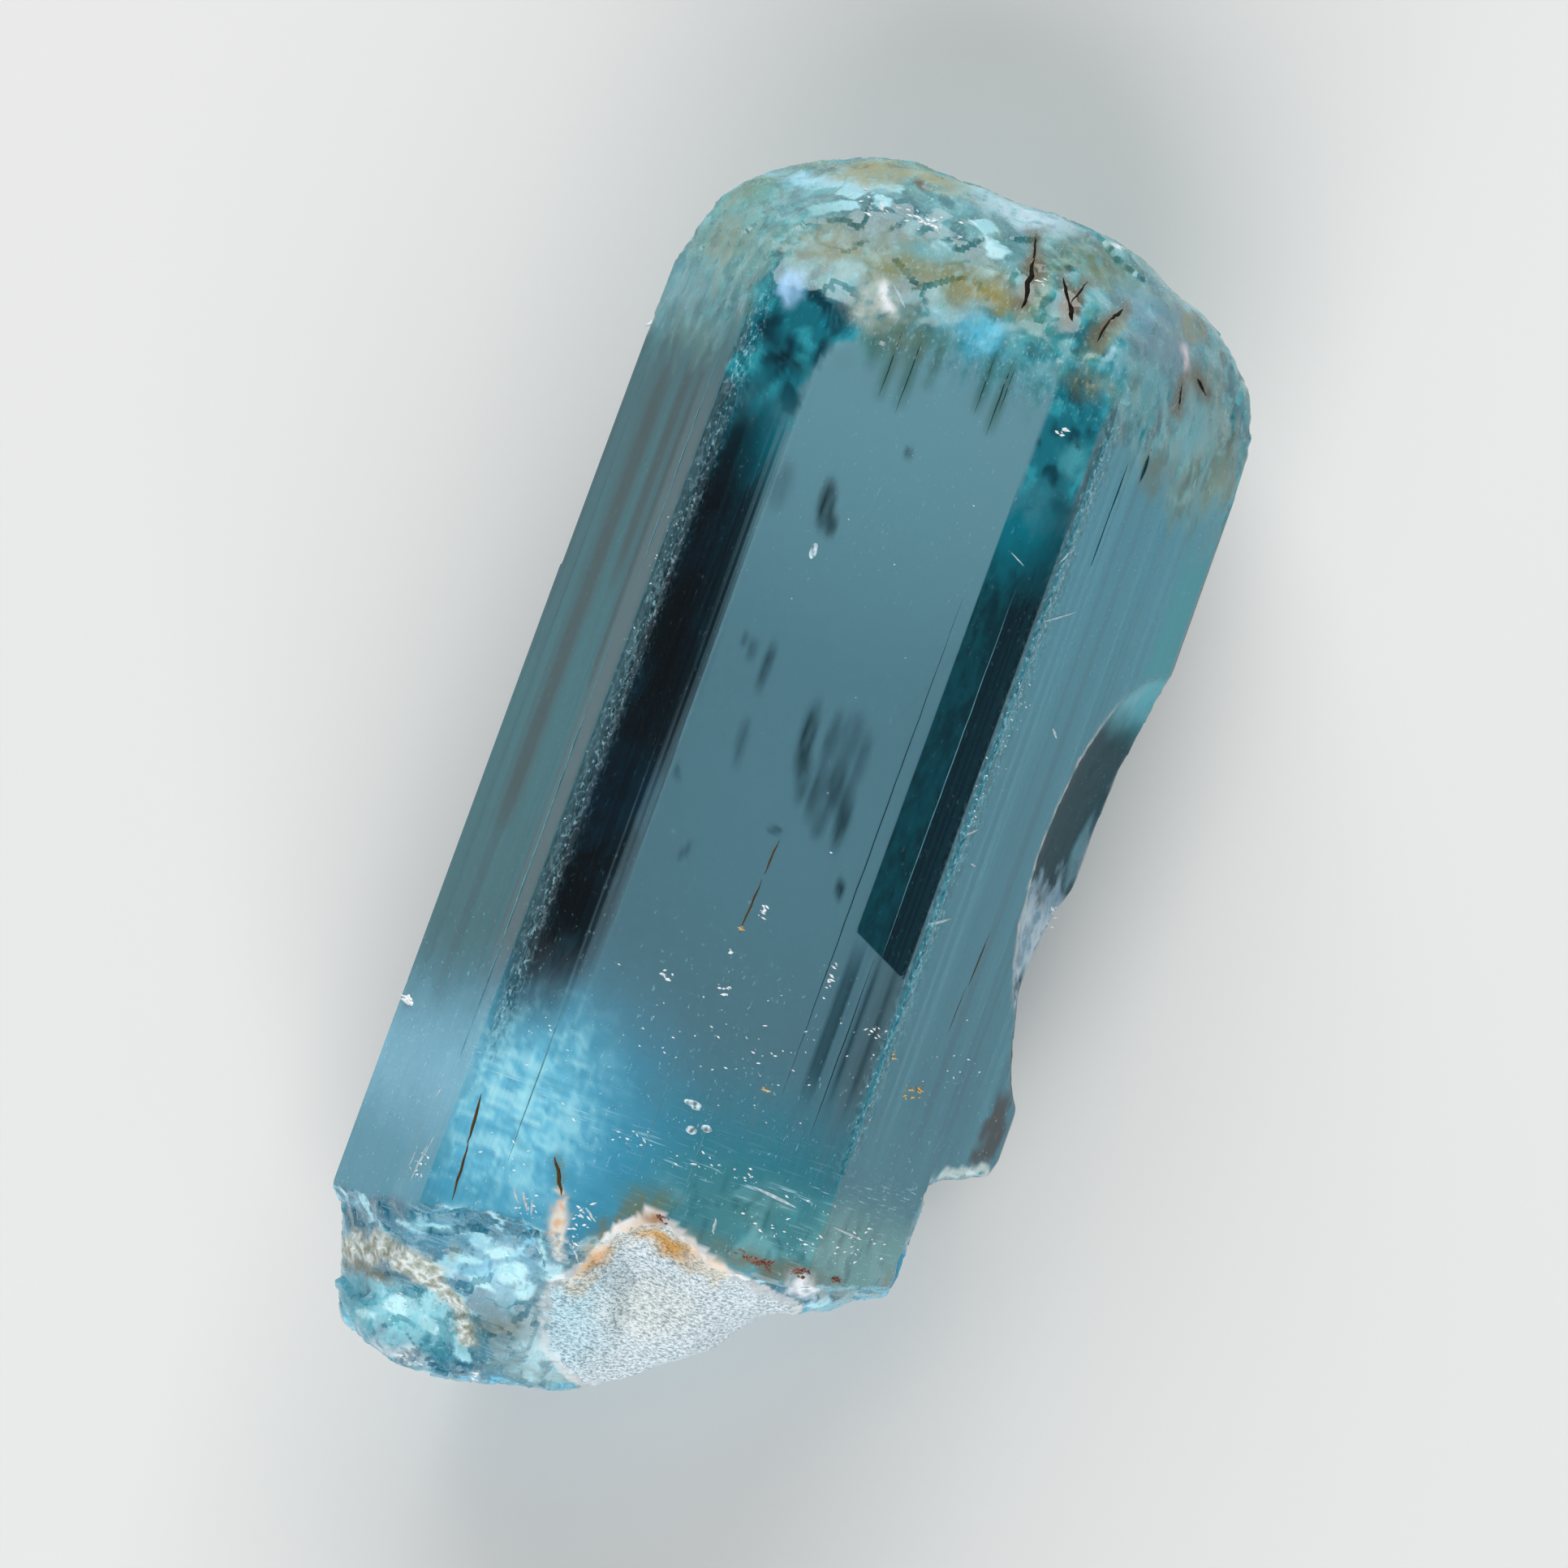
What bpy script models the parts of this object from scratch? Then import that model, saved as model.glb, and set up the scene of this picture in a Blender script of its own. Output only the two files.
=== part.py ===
"""A natural aquamarine crystal: a single six-sided prism of beryl, broken off at its base.

It lies on one of its prism faces. The c-axis runs along +Y, towards the rounded, etched
termination, and +Z points up. The origin is the bottom centre of its bounding box.

Run it with: blender --background --python part.py
Sizes in the constants below are millimetres, and become metres as the meshes are made.
"""

import math

import bmesh
import bpy
from mathutils import Matrix, Vector, noise

MM = 0.001

# The prism. Beryl's six faces meet at 120 degrees, but each grew at its own rate, so each
# has its own distance from the c-axis. Directions are degrees round the axis, from +X to +Z.
AXIS_HEIGHT = 4.5
PRISM_FACES = (
    ("upper_right", 30.0, 4.81),
    ("growth_step", 82.7, 4.62),
    ("top", 90.0, 4.42),
    ("left_bevel", 120.0, 5.79),
    ("upper_left", 150.0, 5.76),
    ("lower_left", 210.0, 4.54),
    ("rest_face", 270.0, AXIS_HEIGHT),
    ("lower_right", 330.0, 5.41),
)
TAPER = 0.0010  # the share by which the prism widens for each millimetre down its length
COLUMN_SPACING = 0.55
ROW_SPACING = 0.8

# The termination: a dome, rounded by etching, that starts at the shoulder.
SHOULDER_Y = {"right": 8.7, "top": 8.9, "left": 8.2, "under": 8.0}
CREST_Y = 12.75
DOME_POWER = {"right": 2.6, "top": 2.1, "left": 2.7, "under": 2.2}
DOME_ROWS = 11
DOME_FACETS = (  # flats that etching left: (normal, distance from the dome's centre)
    ((0.03, 1.0, 0.02), 4.55),
    ((0.34, 0.80, 0.50), 4.95),
    ((-0.42, 0.78, 0.47), 5.20),
    ((-0.10, 0.55, 0.83), 4.80),
    ((0.62, 0.74, 0.25), 5.55),
    ((0.45, 0.85, 0.0), 5.10),
    ((-0.40, 0.87, 0.20), 5.28),
    ((0.30, 0.62, -0.72), 4.60),
    ((-0.50, 0.60, -0.62), 4.70),
)
DOME_RELIEF = 0.17
DOME_RELIEF_SIZE = 1.5

# The ledge low on the right, where a block has split off along the c-axis: its outline from
# above as (y, x), down to the wall that it leaves.
LEDGE = ((-4.9, 6.3), (-5.25, 5.8), (-5.45, 5.4), (-5.58, 4.95), (-5.8, 4.72))
LEDGE_WALL = LEDGE[-1][1]

# The break at the base: where it meets the upper faces, and its outline from above.
BODY_END_Y = -6.6
BREAK_EDGE = ((-6.2, -9.7), (-5.0, -9.5), (-3.8, -9.1), (-2.2, -8.9), (-1.2, -9.1), (0.1, -8.0),
              (1.4, -8.5), (3.0, -8.3), (4.8, -7.9))
BREAK_OUTLINE = ((-6.2, -10.3), (-5.6, -11.5), (-5.0, -12.0), (-3.9, -12.35), (-2.9, -12.5),
                 (-1.8, -12.2), (-0.4, -11.9), (0.7, -11.1), (1.8, -10.2), (2.7, -9.1),
                 (3.9, -8.6), (4.8, -8.1))
BREAK_SLOPE_DEPTH = 3.4
KEEL_HEIGHT = 2.6
KEEL_RISE = 2.4
BREAK_ROWS = 12
BREAK_RELIEF = 0.6
BREAK_FLAT_SIZE = 1.6

# Conchoidal flakes struck off the crystal: (name, centre, radii), ellipsoids along X, Y and Z.
FLAKES = (
    ("right_edge", (8.4, 1.2, 6.6), (3.82, 7.0, 5.22)),
    ("right_edge_lower", (7.5, -1.3, 3.9), (2.4, 3.4, 4.2)),
    ("base_shell", (-4.0, -13.35, 8.35), (3.3, 3.1, 3.0)),
    ("base_hollow", (-1.7, -11.2, 9.7), (2.1, 2.0, 2.6)),
    ("left_edge_chip", (-6.4, 8.05, 5.9), (0.62, 0.45, 0.6)),
)
FLAKE_DETAIL = 4


def face_line(face):
    """The unit normal and the distance from the c-axis of a prism face, in the XZ plane."""
    _, direction, distance = face
    angle = math.radians(direction)
    return math.cos(angle), math.sin(angle), distance


def corner_angle(line, following):
    """The direction round the c-axis of the ridge where two faces meet."""
    (ax, az, a), (bx, bz, b) = line, following
    turn = ax * bz - az * bx
    return math.atan2((ax * b - bx * a) / turn, (a * bz - b * az) / turn)


def corner_angles():
    """The direction of every ridge, with the two edges of the ledge's wall."""
    lines = [face_line(face) for face in PRISM_FACES]
    wall = (1.0, 0.0, LEDGE_WALL)
    angles = [corner_angle(a, b) for a, b in zip(lines, lines[1:] + lines[:1])]
    angles += [corner_angle(wall, lines[0]), corner_angle(lines[-1], wall)]
    return sorted(angle % math.tau for angle in angles)


def outline_at(points, along):
    """The second coordinate of a polyline at a value of its first, which rises."""
    if along <= points[0][0]:
        return points[0][1]
    for (xa, ya), (xb, yb) in zip(points, points[1:]):
        if along <= xb:
            return ya + (yb - ya) * (along - xa) / (xb - xa)
    return points[-1][1]


def radius(angle, y):
    """The distance from the c-axis to the prism's side, in this direction at this height."""
    lines = [face_line(face) for face in PRISM_FACES]
    lines.append((1.0, 0.0, outline_at(LEDGE[::-1], y)))
    ways = [(nx * math.cos(angle) + nz * math.sin(angle), d) for nx, nz, d in lines]
    return min(d / facing for facing, d in ways if facing > 1e-6)


def columns():
    """The directions round the c-axis that the skin is drawn on, every ridge among them."""
    corners = corner_angles()
    angles = []
    for corner, following in zip(corners, corners[1:] + [corners[0] + math.tau]):
        ends = [Vector((math.cos(a), math.sin(a))) * radius(a, 0.0) for a in (corner, following)]
        pieces = max(1, round((ends[1] - ends[0]).length / COLUMN_SPACING))
        points = [ends[0].lerp(ends[1], k / pieces) for k in range(pieces)]
        angles += [math.atan2(p.y, p.x) for p in points]
    return angles


def round_the_axis(values, angle):
    """Blends values given for the right, top, left and underside into one for this direction."""
    right, up = math.cos(angle), math.sin(angle)
    sideways = values["right"] if right > 0 else values["left"]
    upright = values["top"] if up > 0 else values["under"]
    return sideways * right * right + upright * up * up


def smoothstep(t):
    t = min(max(t, 0.0), 1.0)
    return t * t * (3 - 2 * t)


def skyline(x):
    """The height of the prism's upper faces over x."""
    upper = [face_line(face) for face in PRISM_FACES if 0 < face[1] < 180]
    return AXIS_HEIGHT + min((d - nx * x) / nz for nx, nz, d in upper)


def break_y(x, z):
    """How far along the c-axis the break lies, at a point of the cross-section."""
    edge, outline = outline_at(BREAK_EDGE, x), outline_at(BREAK_OUTLINE, x)
    slope = smoothstep((skyline(x) - z) / BREAK_SLOPE_DEPTH)
    keel = KEEL_RISE * smoothstep(1 - z / KEEL_HEIGHT)
    return edge + (outline - edge) * slope + keel


def lumpy(anchor, point, height, size):
    """The point moved along its own ray by angular relief, as etching and breaking leave."""
    place = point / size
    hills = noise.voronoi(place)[0][0] - 0.45
    swell = noise.fractal(place * 0.7, 1.0, 2.0, 3)
    return point + (point - anchor).normalized() * height * (hills + 0.8 * swell)


def hackly(anchor, point, height, size):
    """The point moved along its own ray by a relief of tilted flats, as an uneven break leaves."""
    place = point / size
    centre = noise.voronoi(place)[1][0]
    tilt = noise.cell_vector(centre * 97.0) - Vector((0.5, 0.5, 0.5))
    return point + (point - anchor).normalized() * height * (place - centre).dot(tilt)


def across_section(angle, y, share=1.0):
    """A point of the prism's cross-section, at this share of the way from its axis to its side."""
    out = radius(angle, y) * share
    wide = 1 - TAPER * y
    return Vector((math.cos(angle) * out * wide, y, AXIS_HEIGHT + math.sin(angle) * out))


def dome_point(angle, row):
    """A point of the termination: row 1 is next to the crest, DOME_ROWS is the shoulder."""
    turn = math.pi / 2 * (1 - row / DOME_ROWS)
    power = 2 / round_the_axis(DOME_POWER, angle)
    shoulder = round_the_axis(SHOULDER_Y, angle)
    y = shoulder + (CREST_Y - shoulder) * math.sin(turn) ** power
    point = across_section(angle, y, math.cos(turn) ** power)
    if row == DOME_ROWS:
        return point
    centre = Vector((0.0, min(SHOULDER_Y.values()), AXIS_HEIGHT))
    ray = point - centre
    for normal, distance in DOME_FACETS:
        facing = Vector(normal).normalized().dot(ray)
        if facing > distance:
            ray *= distance / facing
    roughness = DOME_RELIEF * smoothstep(2 * (1 - row / DOME_ROWS))
    return lumpy(centre, centre + ray, roughness, DOME_RELIEF_SIZE)


def break_point(angle, row):
    """A point of the break: row 0 is its edge on the prism's sides, BREAK_ROWS its middle."""
    point = across_section(angle, BODY_END_Y, 1 - row / BREAK_ROWS)
    point.y = min(break_y(point.x, point.z), BODY_END_Y - 0.3)
    anchor = Vector((point.x * 0.8, BODY_END_Y, AXIS_HEIGHT + (point.z - AXIS_HEIGHT) * 0.8))
    height = BREAK_RELIEF * (0.3 if row == 0 else smoothstep(2.5 * (1 - row / BREAK_ROWS)))
    return hackly(anchor, point, height, BREAK_FLAT_SIZE)


def wall_stations():
    """Where the rows of the prism's walls lie along the c-axis, from the shoulder down."""
    top = min(SHOULDER_Y.values())
    count = round((top - BODY_END_Y) / ROW_SPACING)
    even = [top + (BODY_END_Y - top) * k / count for k in range(1, count + 1)]
    ledge = [y for y, _ in LEDGE]
    clear = [y for y in even if min(abs(y - at) for at in ledge) > ROW_SPACING / 4]
    return sorted(clear + ledge, reverse=True)


def evened(loop, share_in):
    """A ring whose points are averaged along the c-axis, the more the nearer it is to its middle."""
    reach = int(8 * share_in ** 3)
    beside = range(-reach, reach + 1)
    heights = [sum(loop[(k + j) % len(loop)].y for j in beside) / len(beside) for k in range(len(loop))]
    return [Vector((p.x, y, p.z)) for p, y in zip(loop, heights)]


def rings():
    """Every ring of the skin from the crest to the middle of the break, each a list of points."""
    angles = columns()
    made = [evened([dome_point(a, row) for a in angles], 1 - row / DOME_ROWS)
            for row in range(1, DOME_ROWS + 1)]
    made += [[across_section(a, y) for a in angles] for y in wall_stations()]
    wall_end, edge = made[-1], [break_point(a, 0) for a in angles]
    for share in (1 / 3, 2 / 3):
        made.append([start.lerp(end, share) for start, end in zip(wall_end, edge)])
    made += [evened([break_point(a, row) for a in angles], row / BREAK_ROWS)
             for row in range(BREAK_ROWS)]
    return made


def add_object(name, bm):
    """Turns the bmesh, in millimetres, into a mesh object in metres."""
    bmesh.ops.scale(bm, vec=(MM, MM, MM), verts=bm.verts)
    mesh = bpy.data.meshes.new(name)
    bm.to_mesh(mesh)
    bm.free()
    obj = bpy.data.objects.new(name, mesh)
    bpy.context.scene.collection.objects.link(obj)
    return obj


def skin(name, loops):
    """One closed mesh through the rings, with a point at each end and its underside flat."""
    bm = bmesh.new()
    grid = [[bm.verts.new((p.x, p.y, max(p.z, 0.0))) for p in loop] for loop in loops]
    count = len(grid[0])
    first, last = (bm.verts.new(sum(loop, Vector()) / count) for loop in (loops[0], loops[-1]))
    for k in range(count):
        bm.faces.new((first, grid[0][k], grid[0][(k + 1) % count]))
        bm.faces.new((last, grid[-1][(k + 1) % count], grid[-1][k]))
    for upper, lower in zip(grid, grid[1:]):
        for k in range(count):
            bm.faces.new((upper[k], lower[k], lower[(k + 1) % count], upper[(k + 1) % count]))
    bmesh.ops.recalc_face_normals(bm, faces=bm.faces)
    bmesh.ops.triangulate(bm, faces=bm.faces)
    return add_object(name, bm)


def strike_flake(crystal, name, centre, radii):
    """Takes an ellipsoid out of the crystal, with a cutter that isn't part of it."""
    bm = bmesh.new()
    bmesh.ops.create_icosphere(bm, subdivisions=FLAKE_DETAIL, radius=1.0)
    bmesh.ops.transform(bm, matrix=Matrix.LocRotScale(centre, None, radii), verts=bm.verts)
    cutter = add_object("flake_" + name, bm)
    cutter.hide_render = True
    cutter.display_type = 'WIRE'
    cut = crystal.modifiers.new(name, 'BOOLEAN')
    cut.operation = 'DIFFERENCE'
    cut.solver = 'EXACT'
    cut.object = cutter


def centre_over_origin(objects, box_of):
    """Moves the objects together, so that the middle of one's box lies over the origin."""
    xs = [v.co.x for v in box_of.data.vertices]
    ys = [v.co.y for v in box_of.data.vertices]
    middle = Vector(((min(xs) + max(xs)) / 2, (min(ys) + max(ys)) / 2, 0.0))
    for obj in objects:
        obj.data.transform(Matrix.Translation(-middle))


def aquamarine():
    material = bpy.data.materials.new("aquamarine")
    material.use_nodes = True
    shader = material.node_tree.nodes["Principled BSDF"]
    shader.inputs["Base Color"].default_value = (0.27, 0.55, 0.62, 1.0)
    shader.inputs["Metallic"].default_value = 0.0
    shader.inputs["Roughness"].default_value = 0.12
    shader.inputs["IOR"].default_value = 1.577
    shader.inputs["Transmission Weight"].default_value = 0.85
    return material


def main():
    for obj in list(bpy.data.objects):
        bpy.data.objects.remove(obj)
    crystal = skin("crystal", rings())
    crystal.data.materials.append(aquamarine())
    crystal.data.shade_smooth()
    crystal.data.set_sharp_from_angle(angle=math.radians(18))
    for name, centre, radii in FLAKES:
        strike_flake(crystal, name, centre, radii)
    centre_over_origin(list(bpy.data.objects), crystal)


main()
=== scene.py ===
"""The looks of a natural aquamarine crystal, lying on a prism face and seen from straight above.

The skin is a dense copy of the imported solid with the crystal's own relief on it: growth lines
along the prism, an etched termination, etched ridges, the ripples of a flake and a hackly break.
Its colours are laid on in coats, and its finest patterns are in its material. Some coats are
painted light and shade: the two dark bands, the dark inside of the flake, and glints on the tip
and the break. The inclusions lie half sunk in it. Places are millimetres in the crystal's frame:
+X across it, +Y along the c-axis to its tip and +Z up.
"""

import math
import random

import bmesh
import bpy
import numpy as np
from mathutils import Matrix, Vector, noise
from mathutils.bvhtree import BVHTree


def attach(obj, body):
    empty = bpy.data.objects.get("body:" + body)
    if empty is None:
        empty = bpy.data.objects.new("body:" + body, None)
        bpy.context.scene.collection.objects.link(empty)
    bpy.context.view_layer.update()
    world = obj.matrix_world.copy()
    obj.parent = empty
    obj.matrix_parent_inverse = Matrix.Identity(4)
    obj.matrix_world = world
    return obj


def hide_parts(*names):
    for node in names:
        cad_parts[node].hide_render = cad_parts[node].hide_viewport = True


MM = 0.001

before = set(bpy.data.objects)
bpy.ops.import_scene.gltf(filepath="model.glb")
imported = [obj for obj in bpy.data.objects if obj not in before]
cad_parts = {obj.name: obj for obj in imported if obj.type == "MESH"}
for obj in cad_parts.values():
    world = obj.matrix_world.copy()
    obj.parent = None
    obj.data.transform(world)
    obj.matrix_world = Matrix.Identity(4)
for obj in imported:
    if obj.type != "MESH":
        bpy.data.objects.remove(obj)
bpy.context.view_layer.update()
BODY = "root"
NODE = "crystal"

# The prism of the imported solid: each face's direction round the c-axis, in degrees from +X.
PRISM_DIRECTIONS = (30.0, 82.7, 90.0, 120.0, 150.0, 210.0, 270.0, 330.0)
SAME_WAY = 0.9985  # two unit vectors whose dot product is over this point the same way
TOP_Z = 8.9
AXIS_Z = 4.5

VOXEL = 0.088  # the spacing of the skin's mesh
UNDERSIDE_Z = 3.6  # the mesh is thinned below this
UNDERSIDE_RATIO = 0.66  # the share of all its faces that is left after that
SMOOTHING_ROUNDS = 6
SHARP_ANGLE = 24.0  # edges over this many degrees stay sharp

# Where the surfaces other than the prism's faces start and end.
TIP_Y = 7.6
FLAKE_TOP_Y = 7.0
LEDGE_TOP_Y = -4.6
BREAK_TOP_Y = -6.1
FLAKE_X = 3.6

# Places on the crystal, as seen from above.
LEFT_RIDGE_X = -4.0
RIGHT_RIDGE_X = 3.0
# The two dark bands are painted shade, where the prism's far faces would look dark through the top
# face.
LEFT_SHADE_BAND = ((-4.05, 10.1), (-3.8, 9.9), (-3.55, 9.35), (-3.3, 9.6), (-2.5, 9.5), (-1.9, 9.3),
             (-1.95, 8.8), (-2.45, 8.45), (-2.6, 7.9), (-2.5, 6.0), (-2.4, 2.0), (-2.6, -1.0),
             (-2.75, -5.6), (-4.05, -5.6))
LEFT_STRIPES = (  # dark stripes on the left face: (x, width, upper end, lower end)
    (-5.22, 0.15, 7.8, -2.0), (-4.78, 0.1, 8.2, 3.0), (-4.55, 0.05, 8.2, 1.0),
)
RIGHT_SHADE_BAND = ((1.8, 10.0), (2.96, 9.5), (2.96, -2.18), (1.8, -1.62))
PATCH = ((0.0, -7.95), (-0.55, -8.6), (-0.7, -9.2), (-1.3, -9.95), (-1.2, -10.5), (-0.95, -11.1),
         (-0.5, -11.4), (0.4, -11.75), (1.2, -11.2), (1.9, -10.6), (2.4, -9.95), (2.9, -9.25),
         (3.2, -8.8), (1.5, -8.5), (0.7, -8.2))

# Colours, as linear light.
WHITE = (0.93, 0.97, 1.0)
ICE = (0.42, 0.8, 1.0)
SEA = (0.1, 0.36, 0.44)
BEIGE = (0.37, 0.38, 0.21)
OLIVE = (0.19, 0.25, 0.11)
BROWN = (0.1, 0.045, 0.012)

# Stains and bright or dark patches: (x, y, across, along, turn in degrees, colour, clearness,
# share). The white and ice ones are painted highlights; the near-black ones by the dark bands
# are painted shade.
TIP_PATCHES = (
    (-5.0, 10.2, 1.0, 1.3, 0, (0.26, 0.6, 0.54), 0.35, 0.6),
    (-4.8, 11.0, 0.5, 0.35, 10, OLIVE, 0.5, 0.5),
    (-5.0, 9.9, 0.35, 0.5, 0, BEIGE, 0.4, 0.5),
    (-5.5, 8.8, 0.45, 0.6, 0, (0.22, 0.52, 0.62), 0.4, 0.6),
    (-3.6, 11.65, 0.9, 0.14, 12, ICE, 0.15, 0.9),
    (-2.9, 12.05, 0.8, 0.26, 18, BEIGE, 0.25, 0.9),
    (-1.7, 12.35, 0.7, 0.22, 8, BEIGE, 0.25, 0.9),
    (-1.9, 12.1, 0.14, 0.08, 0, BROWN, 0.3, 0.8),
    (-3.1, 10.4, 0.75, 0.45, 20, (0.2, 0.23, 0.12), 0.2, 0.85),
    (-2.3, 10.8, 0.5, 0.2, 0, SEA, 0.5, 0.6),
    (-0.6, 10.6, 1.7, 0.46, -6, (0.13, 0.15, 0.03), 0.1, 0.95),
    (-2.0, 10.3, 0.5, 0.3, 30, (0.17, 0.19, 0.06), 0.1, 0.9),
    (-1.2, 10.95, 0.6, 0.16, 10, (0.08, 0.4, 0.46), 0.2, 0.8),
    (0.25, 10.5, 0.6, 0.18, 0, (0.26, 0.23, 0.05), 0.1, 0.95),
    (-2.7, 10.05, 0.3, 0.14, 40, (0.3, 0.52, 0.52), 0.2, 0.8),
    (-1.9, 9.65, 0.44, 0.38, 35, (0.5, 0.54, 0.45), 0.15, 0.9),
    (-1.75, 9.8, 0.1, 0.3, 35, WHITE, 0.05, 1.0),
    (-3.5, 9.35, 0.2, 0.34, 15, (0.35, 0.65, 0.95), 0.1, 1.0),
    (0.15, 9.8, 0.6, 0.42, 0, (0.05, 0.5, 0.72), 0.35, 0.9),
    (0.3, 9.8, 0.2, 0.34, 0, (0.14, 0.66, 0.88), 0.2, 0.8),
    (-3.1, 8.05, 0.38, 0.34, 20, (0.0, 0.05, 0.09), 0.9, 0.95),
    (-3.6, 8.5, 0.22, 0.3, 0, (0.0, 0.1, 0.16), 0.8, 0.8),
    (-1.2, 9.3, 0.45, 0.65, 0, (0.14, 0.22, 0.16), 0.35, 0.75),
    (0.2, 12.35, 1.1, 0.28, 0, (0.52, 0.72, 0.82), 0.18, 0.95),
    (2.1, 12.5, 0.22, 0.12, 0, WHITE, 0.1, 1.0),
    (1.9, 11.9, 0.95, 0.32, -12, OLIVE, 0.35, 0.8),
    (3.4, 11.1, 1.0, 0.75, -20, (0.17, 0.38, 0.5), 0.4, 0.95),
    (2.45, 10.7, 0.2, 0.4, -15, BEIGE, 0.3, 0.8),
    (2.4, 9.6, 0.45, 0.24, 0, (0.2, 0.25, 0.15), 0.4, 0.8),
    (2.65, 8.1, 0.25, 0.35, 0, (0.1, 0.56, 0.66), 0.4, 0.8),
    (2.62, 7.05, 0.3, 0.35, 0, (0.0, 0.09, 0.14), 0.85, 0.9),
    (3.95, 11.4, 0.22, 0.3, 20, BEIGE, 0.4, 0.8),
    (4.0, 10.75, 0.1, 0.32, 32, (0.8, 0.7, 0.75), 0.1, 0.9),
    (4.4, 10.4, 0.3, 0.5, 22, OLIVE, 0.35, 0.5),
    (4.9, 9.9, 0.24, 0.9, 14, BEIGE, 0.5, 0.6),
    (5.4, 9.0, 0.22, 0.9, 5, OLIVE, 0.5, 0.6),
    (4.15, 8.5, 0.22, 0.45, 8, OLIVE, 0.6, 0.6),
    (5.55, 7.8, 0.22, 0.7, 0, (0.06, 0.5, 0.66), 0.5, 0.8),
    (4.6, 9.7, 0.4, 0.8, 0, (0.2, 0.62, 0.7), 0.35, 0.8),
    (3.6, 9.9, 0.5, 0.4, 0, (0.1, 0.56, 0.68), 0.4, 0.7),
)
# The white ones among these patches are painted glints.
BREAK_PATCHES = (
    (-0.6, -8.5, 0.26, 0.75, -28, (0.15, 0.15, 0.06), 0.12, 0.95),
    (-0.1, -7.65, 0.5, 0.3, 20, (0.12, 0.17, 0.09), 0.15, 0.95),
    (-1.9, -7.8, 0.07, 0.4, 30, OLIVE, 0.4, 0.6),
    (2.7, -8.15, 1.5, 0.22, -2, (0.15, 0.18, 0.13), 0.15, 0.95),
    (3.2, -8.3, 0.32, 0.24, 0, WHITE, 0.08, 1.0),
    (4.3, -8.4, 0.45, 0.14, 20, (0.45, 0.5, 0.42), 0.2, 0.9),
    (4.62, -7.6, 0.1, 0.9, 0, (0.32, 0.36, 0.24), 0.4, 0.7),
    (-2.4, -9.9, 0.9, 0.5, 30, (0.35, 0.78, 1.0), 0.2, 0.8),
    (-3.35, -9.85, 0.1, 0.28, 20, (0.4, 0.42, 0.3), 0.2, 0.8),
    (-3.9, -9.8, 0.9, 0.4, 25, (0.1, 0.5, 0.75), 0.4, 0.7),
    (-1.9, -11.1, 1.0, 0.55, 0, (0.09, 0.26, 0.29), 0.4, 0.9),
    (-1.9, -11.0, 0.5, 0.14, 25, (0.14, 0.16, 0.09), 0.3, 0.7),
    (-0.9, -11.7, 1.0, 0.18, 6, (0.3, 0.46, 0.46), 0.35, 0.9),
    (-3.9, -11.6, 1.1, 0.55, 0, (0.28, 0.88, 1.0), 0.2, 0.8),
    (-4.7, -11.5, 0.4, 0.35, 10, (0.06, 0.45, 0.6), 0.4, 0.8),
    (-3.7, -12.25, 0.5, 0.1, 5, WHITE, 0.1, 0.8),
    (-2.1, -12.2, 0.1, 0.2, 0, WHITE, 0.1, 0.9),
    (-4.75, -10.95, 0.5, 0.14, 5, (0.3, 0.22, 0.08), 0.3, 0.8),
)
STREAK_TOP_Y = 9.6
TIP_STREAKS = (  # streaks that run down from the tip: (x, width, lower end)
    (-1.6, 0.12, 8.5), (-1.25, 0.1, 8.0), (-0.85, 0.12, 8.0), (-0.45, 0.1, 8.5),
    (0.55, 0.09, 8.4), (0.92, 0.1, 8.1),
)
ORANGE_RIM = ((-0.85, -9.7), (-0.7, -9.1), (-0.45, -8.6), (-0.1, -8.25), (0.4, -8.2),
              (1.0, -8.5), (1.5, -8.6))
CRACK_LINE = ((-4.0, -6.25), (-2.6, -6.55), (-1.0, -6.65), (0.5, -6.85), (1.7, -6.88), (3.2, -6.45),
              (4.55, -6.1))
SHELL_RIM = ((-5.15, -10.65), (-4.65, -10.4), (-4.1, -10.38), (-3.6, -10.5), (-2.95, -10.9),
             (-2.5, -11.4))
FLAME = ((-1.73, -8.15), (-1.62, -8.55), (-1.5, -8.9), (-1.35, -9.3))
TAB_RIM = ((5.0, -5.42), (5.4, -5.25), (5.8, -5.2))
# Painted highlights: flats of the break that catch the light.
LIT_FLATS = (  # bright flats of the break: (x, y, across, along, turn)
    (-2.1, -9.95, 0.32, 0.22, 35), (-2.45, -9.65, 0.3, 0.12, 20), (-1.75, -10.2, 0.16, 0.22, -30),
    (-1.72, -9.3, 0.05, 0.26, 32), (-2.95, -10.0, 0.26, 0.08, 12), (-3.5, -9.55, 0.4, 0.06, 8),
    (-2.6, -10.35, 0.3, 0.07, -14), (-4.2, -9.75, 0.34, 0.06, 5), (-1.35, -9.75, 0.22, 0.07, 25),
    (-3.9, -11.35, 0.34, 0.2, 15), (-3.3, -11.5, 0.26, 0.14, -20), (-4.5, -11.75, 0.2, 0.1, 10),
)
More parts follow.
